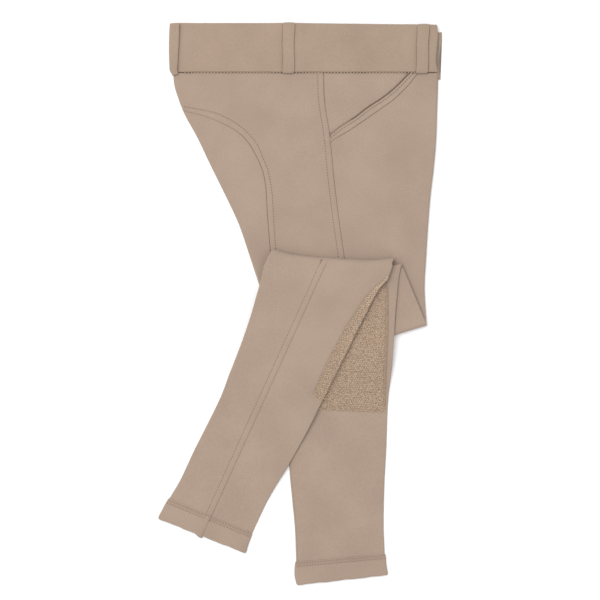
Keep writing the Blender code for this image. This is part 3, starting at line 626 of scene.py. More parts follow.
def band_relief(x, y, right):
    """The band's stiff face: slow waves, a trough beside each loop and a sunken lower edge."""
    total = 0.8 * unevenness(x, y, 4.0 if right else 5.2)
    total += 0.10 * math.sin(x / 2.1 + math.sin(x / 9)) * hill(y - BAND_SEAM - 2.5, 3.0)
    total -= 0.25 * hill(y - BAND_SEAM - 1.6, 0.8)
    if right:
        total -= 1.1 * hill(x - back_loop_end(y) - 0.8, 1.5)
        for _, top, foot in LOOPS:
            centre = foot + (top - foot) * (y - LOOP_FOOT) / (LOOP_TOP - LOOP_FOOT)
            total -= 0.4 * hill(x - centre - LOOP_WIDTH / 2 + 0.1, 0.8)
            total -= 0.2 * hill(x - centre + LOOP_WIDTH / 2, 0.8)
    return total * ease((BAND_TOP - y) / 4)


def waistband(right, material):
    half = BAND_HEIGHT / 2
    side = 1 if right else -1
    front_table = BAND_FRONT_RIGHT if right else BAND_FRONT_LEFT
    profile = band_profile()
    rows = []
    stations = [("roll", a) for a in (0, 12, 24, 36, 50, 64, 78, 90)]
    stations += [("flat", t) for t in spaced(0.0, 1.0, 96)[1:]] + [("end", 0.35), ("end", 0.75)]
    for kind, where in stations:
        ring = []
        for y, depth in profile:
            edge = band_edge(y)
            front = curve(front_table, y)
            if kind == "roll":
                a = math.radians(where)
                reach = half - depth
                x, h = edge + half - reach * math.cos(a), 0.08 + (reach - 0.08) * math.sin(a)
            else:
                first = edge + half
                t = where if kind == "flat" else 1.0
                x, h = first + (front - 0.8 - first) * t, half - depth
                h += band_relief(x, y, right) * (1 - depth / BAND_WALL) * ease((x - first) / 5)
                if kind == "end":
                    x += 0.8 * where
                    h += (depth - BAND_WALL / 2) * where * where * 1.1
            if not right:
                h = min(h, half)
            drop = top_drop(x, y)
            sag = 0.0 if right else front_sag(x, y)
            ring.append((x, y - drop - sag, half + band_lift(x) + side * h))
        rows.append(ring)
    return closed(f"waistband_{'right' if right else 'left'}_half", rows, material, caps=True)


def strap(name, spine, width, material):
    """A belt loop: a flat tube with rounded edges and two sunken lines of stitching.

    Each point of the spine is a place, the direction across the strap and its outward normal.
    """
    across = [-1.0, -0.93, -0.82, -0.74, -0.68, -0.6, -0.3, 0.0, 0.3, 0.6, 0.68, 0.74, 0.82, 0.93, 1.0]
    rows = []
    for k, (place, sideways, normal, scale) in enumerate(spine):
        def at(t, h):
            off = 0.5 * width * scale * t
            return tuple(place[i] + sideways[i] * off + normal[i] * h for i in range(3))
        ring = []
        for t in across:
            edge = math.sqrt(max(1 - max(abs(t) - 0.86, 0) ** 2 / 0.14 ** 2, 0.0))
            groove = 0.22 * hill(abs(t) - 0.71, 0.06)
            crown = 0.15 * (1 - t * t)
            ring.append(at(t, (LOOP_CLOTH / 2) * edge + crown - groove))
        ring += [at(t, -(LOOP_CLOTH / 2)) for t in across[-2:0:-2]]
        rows.append(ring)
    return closed(name, rows, material, caps=True)


def belt_loop(name, top, foot, right, material):
    """A strap that folds over the band's top edge and is sewn into the waist seam."""
    half = BAND_HEIGHT / 2
    side = 1 if right else -1
    middle = half + LOOP_LIFT
    face = half + 0.25 + LOOP_CLOTH / 2
    profile = [
        # (y, height above the middle of the band, how far the normal leans to +Y, width scale)
        (304.0, half - BAND_WALL - 1.0, -1.0, 0.98), (307.6, half - BAND_WALL - 0.4, -0.6, 0.98),
        (309.2, half - 1.3, 1.0, 0.86), (309.4, half - 0.3, 0.9, 0.9), (308.8, half + 0.45, 0.5, 0.96),
        (306.5, face + 0.05, 0.1, 1.0), (303.0, face + 0.2, 0.0, 0.99), (297.0, face + 0.35, 0.0, 0.97),
        (288.0, face + 0.42, 0.0, 0.955), (279.0, face + 0.42, 0.0, 0.95), (270.0, face + 0.38, 0.0, 0.955),
        (263.0, face + 0.3, 0.0, 0.97), (259.0, face + 0.15, 0.0, 0.985), (256.4, face - 0.05, -0.1, 0.99),
        (254.6, face - 0.6, -0.6, 0.97), (253.9, face - 1.5, -1.0, 0.93),
    ]
    spine = []
    for y, h, lean, scale in profile:
        share = (y - LOOP_FOOT) / (LOOP_TOP - LOOP_FOOT)
        centre = foot + (top - foot) * share + 0.35 * math.sin(2.6 * share * math.pi)
        if not right:
            h = min(h, face - 0.2)
        size = math.hypot(lean, 1.0) if abs(lean) < 0.99 else 1.0
        ny, nz = (lean / size, side / size) if abs(lean) < 0.99 else (lean, 0.0)
        sag = top_drop(centre, y) + (0.0 if right else front_sag(centre, y))
        spine.append(((centre, y - sag, middle + side * h), (1, 0, 0), (0, ny, nz), scale))
    return strap(name, spine, LOOP_WIDTH, material)


def back_loop(material):
    """The centre-back loop wraps the fold, with a leg on each half of the band."""
    middle = BAND_HEIGHT / 2 + LOOP_LIFT
    radius = BAND_HEIGHT / 2 + 0.9
    turns = [math.radians(angle) for angle in range(-90, 91, 15)]
    profile = [(-math.cos(a), math.sin(a)) for a in turns]
    rows = []
    heights = [(308.5, 0.75), (308.8, 0.4), (308.5, 0.1)] + [(y, 0.0) for y in spaced(307.5, 257.0, 26)]
    heights += [(255.2, 0.05), (253.8, 0.2), (252.9, 0.45), (252.4, 0.8)]
    for y, tuck in heights:
        low = ease((258 - y) / 7)
        centre = band_edge(y) + BAND_HEIGHT / 2 - 1.4 + 2.6 * low
        bow = 0.25 * math.sin(math.pi * min(max((y - 254) / 55, 0), 1))
        outer = radius + LOOP_CLOTH * (1 - tuck) + bow - 0.6 * low
        inner = radius + bow - 0.6 * low
        shift = 0.25 * math.sin((y - 254) / 13.0)
        end = back_loop_end(y) - centre + 2.0 * low
        legs = [end - 2.9, end]
        if y > 307.6:
            legs[1] -= 0.8 * (y - 307.6)
        ring = [(centre + legs[1] + shift, -outer + 0.35), (centre + legs[1] - 0.5 + shift, -outer)]
        ring += [(centre + legs[0] * t, -outer) for t in (1.0, 0.5)]
        ring += [(centre + outer * c, outer * s) for c, s in profile]
        ring += [(centre + legs[0] * t, outer) for t in (0.5, 1.0)]
        ring += [(centre + legs[1] - 0.5 + shift, outer), (centre + legs[1] + shift, outer - 0.35)]
        back = [(centre + legs[1] + shift, inner + 0.1), (centre + legs[0], inner)]
        back += [(centre + inner * c, inner * s) for c, s in profile[::-2]]
        back += [(centre + legs[0], -inner), (centre + legs[1] + shift, -inner - 0.1)]
        # The under leg is pressed flat between the band and the floor.
        ring = [(x, max(h, 0.03 - middle)) for x, h in ring]
        back = [(x, max(h, 0.03 + LOOP_CLOTH - middle)) for x, h in back]
        rows.append([(x, y + 0.42 * (x - centre - legs[1]) * low * low + 0.7 * low, middle + h)
                     for x, h in ring + back])
    return closed("belt_loop_back_middle", rows, material, caps=True)


# Lower legs

def leg_point(origin, lean, down, across):
    """A plan point from distances down the leg and across it, towards the front."""
    a = math.radians(lean)
    return (origin[0] - math.sin(a) * down + math.cos(a) * across,
            origin[1] - math.cos(a) * down - math.sin(a) * across)


def row_at(table, s):
    """A row of a leg's table at any place between its rows."""
    return [curve([(k, row[c]) for k, row in enumerate(table)], s) for c in range(4)]


def row_length(table, k):
    """Distance down the leg from a row of its table to the next."""
    return 0.5 * (table[k + 1][0] + table[k + 1][2] - table[k][0] - table[k][2])


def places_down(table, first, last, step):
    """Places down a leg's table, the same distance apart along the leg."""
    places = [first]
    while places[-1] < last:
        k = min(int(places[-1]), len(table) - 2)
        places.append(places[-1] + step / row_length(table, k))
    places[-1] = last
    return places


def axis_place(row):
    """How far across a section the leg's axis is, measured along the section's own slant."""
    return -row[1] * (math.hypot(row[3] - row[1], row[2] - row[0]) / (row[3] - row[1]))


def fold_hollow(share):
    """How hollow a top fold is, across the leg: 0 at its two corners and 1 along its middle."""
    return 1 - abs(2 * min(max(share, 0.0), 1.0) - 1) ** 3.2


def section(leg, row):
    """A level section across a leg, as a function of distance across and height in the tube."""
    back = leg_point(leg["origin"], leg["lean"], row[0], row[1])
    front = leg_point(leg["origin"], leg["lean"], row[2], row[3])
    width = math.dist(back, front)

    lean = math.radians(leg["lean"])
    from_fold = 0.5 * (row[0] + row[2] - leg["table"][0][0] - leg["table"][0][2])
    sink = leg["hollow"] * (1 - ease(from_fold / 70))

    def at(across, height):
        down = sink * fold_hollow(across / width)
        x = back[0] + (front[0] - back[0]) * across / width - math.sin(lean) * down
        y = back[1] + (front[1] - back[1]) * across / width - math.cos(lean) * down
        middle = LEG_TUBE / 2
        swell = 1.0 if height > middle else 0.35
        inside = ease(min(across, width - across) / 2.5)
        relief = leg["relief"](x, y) * inside * swell
        return (x, y, max(leg["base"](x, y) + height + relief, 0.02))

    return {"width": width, "at": at, "axis": axis_place(row), "row": row}


def rolled(leg, angle):
    """A section on the roll of a top fold: angle 0 is on top, 180 underneath."""
    (ax, ay), (bx, by) = leg["fold"]
    width = math.dist(*leg["fold"])
    out = (-(by - ay) / width, (bx - ax) / width)
    turn = math.radians(angle)
    inner, centre_z = leg["inner"], leg["rest"] - leg["inner"]
    radius = inner + LEG_TUBE
    lean = math.radians(leg["lean"])
    up = (math.sin(lean), math.cos(lean))
    per_reach = 1 / (up[0] * out[0] + up[1] * out[1])

    def at(across, height):
        reach = (inner + height) * math.sin(turn) - radius
        reach -= leg["hollow"] * fold_hollow(across / width)
        reach += (0.12 * math.sin(across / 11.0 + 1.0) + 0.08 * math.sin(across / 4.7)) * math.sin(turn)
        x = ax + (bx - ax) * across / width + up[0] * per_reach * reach
        y = ay + (by - ay) * across / width + up[1] * per_reach * reach
        return (x, y, centre_z + (inner + height) * math.cos(turn))

    row = leg["table"][0]
    return {"width": width, "at": at, "axis": axis_place(row), "row": row}


def right_leg_relief(x, y):
    total = creases(RIGHT_LEG_CREASES, x, y) + unevenness(x, y, 1.2)
    a = math.radians(RIGHT_LEG_LEAN)
    dx, dy = x - RIGHT_LEG_ORIGIN[0], y - RIGHT_LEG_ORIGIN[1]
    across = math.cos(a) * dx - math.sin(a) * dy
    return total + felled(-across, 0.2)


def left_leg_relief(x, y):
    return creases(LEFT_LEG_CREASES, x, y) + unevenness(x, y, 3.3)


RIGHT = {
    "side": "right", "origin": RIGHT_LEG_ORIGIN, "lean": RIGHT_LEG_LEAN, "table": RIGHT_LEG,
    "hem": RIGHT_HEM, "base": right_leg_base, "relief": right_leg_relief, "fold": RIGHT_TOP_FOLD,
    "inner": (RIGHT_LEG_REST + LEG_TUBE - BODY_HEIGHT - 0.3) / 2 - LEG_TUBE, "rest": RIGHT_LEG_REST,
    "lowest_turn": 165, "hollow": 5.6,
}
LEFT = {
    "side": "left", "origin": LEFT_LEG_ORIGIN, "lean": LEFT_LEG_LEAN, "table": LEFT_LEG,
    "hem": LEFT_HEM, "base": left_leg_base, "relief": left_leg_relief, "fold": LEFT_TOP_FOLD,
    "inner": 0.15, "rest": LEFT_LEG_REST, "lowest_turn": 120, "hollow": 0.0,
}


def leg_sections(leg):
    """The roll of the top fold and then every section down to the hem."""
    turns = [rolled(leg, angle) for angle in range(leg["lowest_turn"], -1, -15)]
    table = leg["table"]
    first = (leg["inner"] + LEG_TUBE + 1.5) / row_length(table, 0)
    places = places_down(table, first, len(table) - 1, ROW_STEP)
    return turns + [section(leg, row_at(table, s)) for s in places]


def rim(width, at_front, tube, out, steps=8):
    """Points of the half round where the leg's cloth turns over at one edge."""
    radius = tube / 2
    centre = width - radius if at_front else radius
    angles = [math.radians(90 - 180 * k / steps) for k in range(1, steps)]
    side = 1 if at_front else -1
    turn = [(centre + side * (radius + out) * math.cos(a), radius + (radius + out) * math.sin(a))
            for a in angles]
    return turn if at_front else turn[::-1]


def face_steps(start, stop, at_start, at_stop, count):
    """Points across a face, closer together at an end that is a seam."""
    fine = [0.35, 0.8, 1.4, 2.4, 4.0]
    first = [start] + [start + f for f in fine] if at_start else [start]
    last = [stop - f for f in fine[::-1]] + [stop] if at_stop else [stop]
    return first[:-1] + spaced(first[-1], last[0], count) + last[1:]


def leg_rings(leg, seam_on_top):
    """The back and front pieces of a leg: grids of points on their outer faces."""
    back, front = [], []
    for s in leg_sections(leg):
        width = s["width"]
        seam = s["axis"] if seam_on_top else 0.48 * width
        low, high = LEG_TUBE / 2, width - LEG_TUBE / 2
        over, under = (seam, INSEAM_IN) if seam_on_top else (INSEAM_IN, seam)
        if seam_on_top:
            top = face_steps(low, over - SEAM_GAP, False, True, 15)
            bottom = spaced(low, under - SEAM_GAP, 6)
        else:
            top = spaced(low, over - SEAM_GAP, 6)
            bottom = face_steps(low, under - SEAM_GAP, False, True, 15)
        ring = [(t, 0.0) for t in bottom[::-1]] + rim(width, False, LEG_TUBE, 0.0)
        ring += [(t, LEG_TUBE) for t in top]
        back.append([s["at"](t, h) for t, h in ring])
        top = face_steps(over + SEAM_GAP, high, True, False, 15 if seam_on_top else 28)
        bottom = face_steps(under + SEAM_GAP, high, True, False, 28 if seam_on_top else 15)
        ring = [(t, LEG_TUBE) for t in top] + rim(width, True, LEG_TUBE, 0.0)
        ring += [(t, 0.0) for t in bottom[::-1]]
        front.append([s["at"](t, h) for t, h in ring])
    return back, front


def lower_leg(leg, seam_on_top, material):
    back, front = leg_rings(leg, seam_on_top)
    cloth(f"{leg['side']}_calf_back", back, CLOTH, material)
    cloth(f"{leg['side']}_calf_front", front, CLOTH, material)


def hem(leg, material):
    """The turned-up hem: a ring of double cloth, folded at the bottom and cut at the top."""
    table = leg["hem"]
    last = len(table) - 1
    profile = [(0.0, -1.0), (0.0, -0.6), (0.03, -0.42)]
    profile += [(last * t, -0.35 * (1 - ease(t / 0.14)) - 0.05 * hill(last * t - 0.37, 0.2))
                for t in spaced(0.045, 0.955, 22)]
    profile += [(last * 0.975, -0.12), (last * 0.992, -0.4), (last * 1.0, -HEM_WALL / 2),
                (last * 0.992, -HEM_WALL + 0.4), (last * 0.975, -HEM_WALL + 0.1)]
    profile += [(last * t, -HEM_WALL) for t in spaced(0.93, 0.03, 6)]
    rows = []
    for s_at, out in profile:
        s = section(leg, row_at(table, s_at))
        width = s["width"]
        near = [s["axis"] + d for d in (-9, -7.5, -6.3, -5, -3, -1.6, -0.9, -0.4, 0, 0.4, 0.9, 1.6)]
        near = near if leg["side"] == "right" else spaced(50.0, 56.0, 12)
        edges = sorted(spaced(HEM_TUBE / 2, width - HEM_TUBE / 2, 31) + near)
        ring = [(t, -out) for t in edges[:20][::-1]] + rim(width, False, HEM_TUBE, out)
        seam = {t: felled(s["axis"] - t, 0.22) * (1 if leg["side"] == "right" else 0) for t in edges}
        ring += [(t, HEM_TUBE + out + (seam[t] if out > -0.5 else 0)) for t in edges]
        ring += rim(width, True, HEM_TUBE, out) + [(t, -out) for t in edges[20:][::-1]]
        row = []
        for t, h in ring:
            x, y, z = s["at"](t, h)
            wave = 0.22 * math.sin(t / 5.3 + 1.0) + 0.16 * math.sin(t / 2.3)
            bump = 0.0
            if leg["side"] == "right":
                bump = 2.6 * ease((t - s["axis"] + 10) / 8) * (1 - ease((t - s["axis"] + 0.6) / 1.6))
            low = ease((s_at / last - 0.55) / 0.45) * (1.0 if h > HEM_TUBE / 2 else 0.6)
            corner = max(1 - max(min(t, width - t), 0.0) / 2.6, 0.0)
            down = (wave + bump - 1.8 * corner ** 2) * low
            a = math.radians(leg["lean"])
            row.append((x - math.sin(a) * down, y - math.cos(a) * down, z))
        rows.append(row)
    return closed(f"{leg['side']}_ankle_hem", rows, material)


# Knee patches

def grain(x, y):
    """Repeatable unevenness of the suede, from -1 to 1, with grains about 2 mm across."""
    a = math.sin(x * 2.9 + 1.7 * math.sin(y * 1.3)) * math.sin(y * 2.7 + 1.9 * math.sin(x * 1.1))
    b = math.sin(x * 5.3 + y * 1.7 + 2.0) * math.sin(y * 4.9 - x * 2.1)
    return 0.6 * a + 0.4 * b


def patch_point(s, across, height, edge):
    """A point on a patch, whose edge is turned under and sewn down."""
    x, y, z = s["at"](across, height)
    return (x, y, z + 0.16 * grain(x, y) - 0.75 * hill(edge, 0.9) - 0.18 * hill(edge - 3.0, 0.8))


def left_patch_grid(step):
    """The patch on the upper, inner side of the left leg."""
    rows = []
    first, last = LEFT_PATCH_ROWS
    places = places_down(LEFT_LEG, first, last, step)
    for k, place in enumerate(places):
        s = section(LEFT, row_at(LEFT_LEG, place))
        inside = curve(LEFT_PATCH_FRONT, s["row"][2])
        start, stop = LEFT_PATCH_BACK, s["width"] - inside
        row = []
        for t in spaced(start, stop, round(98 / step)):
            edge = min(t - start, stop - t, (len(places) - 1 - k) * step)
            x, y, z = patch_point(s, t, LEG_TUBE + PATCH, edge)
            share = (place - first) / (last - first)
            raised = y + 19.0 * share * share * (1 - t / s["width"])
            row.append((x, raised, z - left_leg_base(x, y) + left_leg_base(x, raised)))
        rows.append(row)
    return rows


def right_patch_grid(step):
    """The patch that wraps the front edge of the right leg, on to its underside."""
    rows = []
    first, last = RIGHT_PATCH_ROWS
    places = places_down(RIGHT_LEG, first, last, step)
    for k, place in enumerate(places):
        s = section(RIGHT, row_at(RIGHT_LEG, place))
        width = s["width"]
        reach = curve(RIGHT_PATCH, s["row"][2])
        end = width - LEG_TUBE / 2
        top = spaced(end - reach, end, max(4, round(16 / step)))
        under = spaced(end, end - 38.0, max(4, round(24 / step)))
        row = [patch_point(s, t, LEG_TUBE + PATCH,
                           min(t - end + reach, (len(places) - 1 - k) * step)) for t in top]
        row += [s["at"](t, h) for t, h in rim(width, True, LEG_TUBE, PATCH, 10)]
        row += [s["at"](t, -PATCH) for t in under]
        rows.append(row)
    return rows


# The folded middle of the legs

def left_return(material):
    """The left leg's cloth round the lower fold and up over the stack, under the lower legs."""
    (ax, ay), (bx, by) = LOWER_FOLD
    (cx, cy), (dx, dy) = LEFT_TOP_FOLD
    width = math.dist(*LOWER_FOLD)
    out = ((by - ay) / width, -(bx - ax) / width)
    radius = RETURN_TOP / 2
    edge = [(0.0, 1.6), (0.15, 1.05), (0.45, 0.55), (0.95, 0.18), (1.6, 0.0)]
    shape = [(d / width, drop) for d, drop in edge]
    shape += [(t, 0.0) for t in spaced(0.02, 0.98, 52)]
    shape += [(1 - d / width, drop) for d, drop in edge[::-1]]
    rows = []
    turns = [(-12.0, 180), (-8.0, 180), (-radius, 180)] + [(None, a) for a in range(165, -1, -15)]
    for reach, turn in turns:
        row = []
        for t, drop in shape:
            r = radius - drop * (0.6 if turn > 60 else 1.0)
            a = math.radians(turn)
            swell = 0.14 * math.sin(t * 13.0) * math.sin(a)
            away = reach if reach is not None else (r + swell) * math.sin(a) - radius
            row.append((ax + (bx - ax) * t + out[0] * away, ay + (by - ay) * t + out[1] * away,
                        radius + r * math.cos(a)))
        rows.append(row)
    for share in spaced(0.07, 0.95, 30):
        row = []
        for t, drop in shape:
            x = (ax + (bx - ax) * t) * (1 - share) + (cx + (dx - cx) * t) * share
            y = (ay + (by - ay) * t) * (1 - share) + (cy + (dy - cy) * t) * share
            soft = (0.5 * unevenness(x, y, 0.4)
                    - 0.5 * hill(x - 124 + 0.12 * (y + 20), 5.0) * hill(y + 22, 16))
            row.append((x, y, RETURN_TOP - drop + soft * ease(share / 0.15)))
        rows.append(row)
    return cloth("left_knee_return", rows, CLOTH, material, flip=True)


def between(a, b, share):
    return (a[0] + (b[0] - a[0]) * share, a[1] + (b[1] - a[1]) * share)


def refine(outline, step):
    """The outline with points added along its long sides."""
    points = []
    for k, a in enumerate(outline):
        b = outline[(k + 1) % len(outline)]
        count = max(1, round(math.dist(a, b) / step))
        points += [between(a, b, i / count) for i in range(count)]
    return points


def layered(name, outline, levels, material):
    """Hidden layers of cloth that share one solid, with each layer's folded edge round it."""
    outline = refine(outline, 5.0)
    count = len(outline)
    middle = [sum(p[k] for p in outline) / count for k in (0, 1)]
    rows = []
    for z, inset in levels:
        row = []
        for k, (x, y) in enumerate(outline):
            before, after = outline[k - 1], outline[(k + 1) % count]
            tx, ty = after[0] - before[0], after[1] - before[1]
            size = math.hypot(tx, ty)
            nx, ny = ty / size, -tx / size
            if nx * (middle[0] - x) + ny * (middle[1] - y) < 0:
                nx, ny = -nx, -ny
            inward = inset + 0.25 * math.sin(k / 2.7 + z)
            row.append((x + nx * inward, y + ny * inward, z))
        rows.append(row)
    return closed(name, rows, material, caps=True)


def layer_levels(floor, roof, layers, lean):
    """Heights and insets that give each layer a rounded edge and a groove above it."""
    levels = []
    thick = (roof - floor) / layers
    for k in range(layers):
        low = floor + k * thick
        for part, inset in ((0.04, 0.9), (0.15, 0.35), (0.4, 0.0), (0.65, 0.0), (0.88, 0.35)):
            levels.append((low + part * thick, inset + lean * k))
    levels.append((roof, 0.9 + lean * layers))
    return levels


def hidden_layers(material):
    """The inner legs between the thighs, and the right return inside the left one."""
    heights = [203.0, 193.0, 180.0, 165.0, 145.0, 127.0, 106.0, 85.0, 62.0, 40.0, 20.0, 0.0, -12.0]
    rows = [body_row(y) for y in heights] + [fold_row(5.0)]

    def edge(row, x):
        return (x, row["y"] + row["slope"] * (x - row["side"]))

    backs = [edge(row, row["back"] + 4.5) for row in rows]
    fronts = [edge(row, row["front"] - 4.5) for row in rows]
    layered("inner_thigh_layers", backs[::-1] + fronts,
            layer_levels(1.15, BODY_HEIGHT - 1.15, 2, 0.0), material)
    lower_back = between(*LOWER_FOLD, 0.05)
    lower_front = between(*LOWER_FOLD, 0.965)
    upper_front = between(*LEFT_TOP_FOLD, 0.975)
    up = (-0.29, 0.957)
    outline = [(lower_back[0] + 4.5 * up[0], lower_back[1] + 4.5 * up[1]), (-12.5, 14.0),
               (upper_front[0] - 0.5, upper_front[1] - 4.5),
               (lower_front[0] + 4.5 * up[0], lower_front[1] + 4.5 * up[1])]
    layered("inner_fold_layers", outline,
            layer_levels(BODY_HEIGHT + 0.25, RETURN_TOP - 0.95, 3, 0.4), material)


# Node trees

def add(tree, kind, inputs=None, **settings):
    """A node with its settings. Each input is a value, an output, or a node for its first output."""
    node = tree.nodes.new(kind)
    for key, value in settings.items():
        setattr(node, key, value)
    for key, value in (inputs or {}).items():
        if isinstance(value, bpy.types.Node):
            value = value.outputs[0]
        if isinstance(value, bpy.types.NodeSocket):
            tree.links.new(value, node.inputs[key])
        else:
            node.inputs[key].default_value = value
    return node


def new_tree(name, sizes, seeded=True):
    """A Geometry Nodes tree with named sizes, a seed and a material, and its two end nodes."""
    tree = bpy.data.node_groups.new(name, "GeometryNodeTree")
    tree.interface.new_socket("Geometry", in_out="INPUT", socket_type="NodeSocketGeometry")
    inputs = [(label, "Float") for label in sizes] + [("Seed", "Int")] * seeded
    for label, kind in inputs + [("Material", "Material")]:
        tree.interface.new_socket(label, in_out="INPUT", socket_type="NodeSocket" + kind)
    tree.interface.new_socket("Geometry", in_out="OUTPUT", socket_type="NodeSocketGeometry")
    return tree, add(tree, "NodeGroupInput"), add(tree, "NodeGroupOutput")


def end_tree(tree, source, out, geometry):
    """Realised, smooth and in its material."""
    real = add(tree, "GeometryNodeRealizeInstances", {"Geometry": geometry})
    smooth = add(tree, "GeometryNodeSetShadeSmooth", {"Geometry": real})
    done = add(tree, "GeometryNodeSetMaterial",
               {"Geometry": smooth, "Material": source.outputs["Material"]})
    tree.links.new(done.outputs[0], out.inputs[0])


def stitch_tree():
    """Separate stitches of thread along a line."""
    tree, source, out = new_tree("lockstitch", ("Pitch", "Length", "Thread", "Turn"))
    line = add(tree, "GeometryNodeMeshToCurve", {"Mesh": source.outputs["Geometry"]})
    places = add(tree, "GeometryNodeResampleCurve",
                 {"Curve": line, "Length": source.outputs["Pitch"]}, mode="LENGTH")
    half_long = add(tree, "ShaderNodeMath", {0: source.outputs["Length"], 1: 0.5}, operation="MULTIPLY")
    half_wide = add(tree, "ShaderNodeMath", {0: source.outputs["Thread"], 1: 0.5}, operation="MULTIPLY")
    size = add(tree, "ShaderNodeCombineXYZ", {"X": half_long, "Y": half_wide,
                                              "Z": half_wide})
    ball = add(tree, "GeometryNodeMeshUVSphere", {"Segments": 8, "Rings": 5, "Radius": 1.0})
    stitch = add(tree, "GeometryNodeTransform", {"Geometry": ball, "Scale": size})
    tangent = add(tree, "GeometryNodeInputTangent")
    along = add(tree, "FunctionNodeAlignRotationToVector", {"Vector": tangent}, axis="X")
    less = add(tree, "ShaderNodeMath", {0: source.outputs["Turn"], 1: -1.0}, operation="MULTIPLY")
    turn = add(tree, "FunctionNodeRandomValue",
               {2: less, 3: source.outputs["Turn"], "Seed": source.outputs["Seed"]},
               data_type="FLOAT")
    euler = add(tree, "ShaderNodeCombineXYZ", {"Z": turn.outputs[1]})
    spin = add(tree, "FunctionNodeEulerToRotation", {0: euler})
    angle = add(tree, "FunctionNodeRotateRotation", {0: along, 1: spin},
                rotation_space="LOCAL")
    rows = add(tree, "GeometryNodeInstanceOnPoints",
               {"Points": places, "Instance": stitch, "Rotation": angle})
    end_tree(tree, source, out, rows)
    return tree


def zigzag_tree():
    """One thread that runs along a line from side to side; with no width it runs straight."""
    tree, source, out = new_tree("zigzag", ("Pitch", "Width", "Thread"), seeded=False)
    line = add(tree, "GeometryNodeMeshToCurve", {"Mesh": source.outputs["Geometry"]})
    half = add(tree, "ShaderNodeMath", {0: source.outputs["Pitch"], 1: 0.5}, operation="MULTIPLY")
    places = add(tree, "GeometryNodeResampleCurve",
                 {"Curve": line, "Length": half}, mode="LENGTH")
    index = add(tree, "GeometryNodeInputIndex")
    odd = add(tree, "ShaderNodeMath", {0: index, 1: 2.0}, operation="MODULO")
    side = add(tree, "ShaderNodeMath", {0: odd, 1: 0.5}, operation="SUBTRACT")
    reach = add(tree, "ShaderNodeMath", {0: side, 1: source.outputs["Width"]},
                operation="MULTIPLY")
    tangent = add(tree, "GeometryNodeInputTangent")
    across = add(tree, "ShaderNodeVectorMath", {0: tangent, 1: (0.0, 0.0, 1.0)},
                 operation="CROSS_PRODUCT")
    offset = add(tree, "ShaderNodeVectorMath", {0: across, "Scale": reach},
                 operation="SCALE")
    moved = add(tree, "GeometryNodeSetPosition",
                {"Geometry": places, "Offset": offset})
    radius = add(tree, "ShaderNodeMath", {0: source.outputs["Thread"], 1: 0.5}, operation="MULTIPLY")
    ring = add(tree, "GeometryNodeCurvePrimitiveCircle",
               {"Resolution": 6, "Radius": radius}, mode="RADIUS")
    thread = add(tree, "GeometryNodeCurveToMesh",
                 {"Curve": moved, "Profile Curve": ring, "Fill Caps": True})
    end_tree(tree, source, out, thread)
    return tree


def nub_tree():
    """Raised nubs on points of a surface, each turned and sized a little differently."""
    tree, source, out = new_tree("nubs", ("Length", "Width", "Height", "Stray"))
    stray = add(tree, "FunctionNodeRandomValue", {0: (-1.0, -1.0, -0.15), 1: (1.0, 1.0, 0.15),
                                                  "Seed": source.outputs["Seed"]},
                data_type="FLOAT_VECTOR")
    offset = add(tree, "ShaderNodeVectorMath",
                 {0: stray, "Scale": source.outputs["Stray"]}, operation="SCALE")
    moved = add(tree, "GeometryNodeSetPosition",
                {"Geometry": source.outputs["Geometry"], "Offset": offset})
    size = add(tree, "ShaderNodeCombineXYZ", {"X": source.outputs["Length"], "Y": source.outputs["Width"],
                                              "Z": source.outputs["Height"]})
    ball = add(tree, "GeometryNodeMeshIcoSphere", {"Radius": 0.5, "Subdivisions": 1})
    nub = add(tree, "GeometryNodeTransform", {"Geometry": ball, "Scale": size})
    index = add(tree, "GeometryNodeInputIndex")
    odd = add(tree, "ShaderNodeMath", {0: index, 1: 2.0}, operation="MODULO")
    lean = add(tree, "ShaderNodeMapRange", {"Value": odd, "To Min": -0.75, "To Max": 0.75})
    loose = add(tree, "FunctionNodeRandomValue", {2: -0.5, 3: 0.5, "Seed": 5}, data_type="FLOAT")
    turn = add(tree, "ShaderNodeMath", {0: lean, 1: loose.outputs[1]}, operation="ADD")
    euler = add(tree, "ShaderNodeCombineXYZ", {"Z": turn})
    spin = add(tree, "FunctionNodeEulerToRotation", {0: euler})
    grow = add(tree, "FunctionNodeRandomValue", {2: 0.65, 3: 1.2, "Seed": 9}, data_type="FLOAT")
    nubs = add(tree, "GeometryNodeInstanceOnPoints",
               {"Points": moved, "Instance": nub, "Rotation": spin,
                "Scale": grow.outputs[1]})
    end_tree(tree, source, out, nubs)
    return tree


def grown(name, tree, paths, values, as_points=False):
    """A plain mesh that a tree makes from paths of points in millimetres."""
    points, edges = [], []
    for path in paths:
        first = len(points)
        points += path
        if not as_points:
            edges += [(first + k, first + k + 1) for k in range(len(path) - 1)]
    mesh = bpy.data.meshes.new(name)
    mesh.from_pydata([tuple(c * MM for c in p) for p in points], edges, [])
    piece = bpy.data.objects.new(name, mesh)
    bpy.context.scene.collection.objects.link(piece)
    maker = piece.modifiers.new("maker", "NODES")
    maker.node_group = tree
    for socket in tree.interface.items_tree:
        if socket.in_out == "INPUT" and socket.name in values:
            maker[socket.identifier] = values[socket.name]
    piece.update_tag()
    graph = bpy.context.evaluated_depsgraph_get()
    made = bpy.data.meshes.new_from_object(piece.evaluated_get(graph))
    piece.modifiers.clear()
    piece.data = made
    made.name = name
    PIECES.append(piece)
    return piece


# Sewing: the paths of the stitches

STITCH_LIFT = 0.12        # from the cloth's face up to a stitch's middle


def on_body(x, y, right, lift=STITCH_LIFT):
    """A point on a thigh's outer face."""
    if right:
        return (x, y, BODY_HEIGHT + body_relief(x, y, True) + lift)
    return (x, y - front_sag(x, y), 0.22)


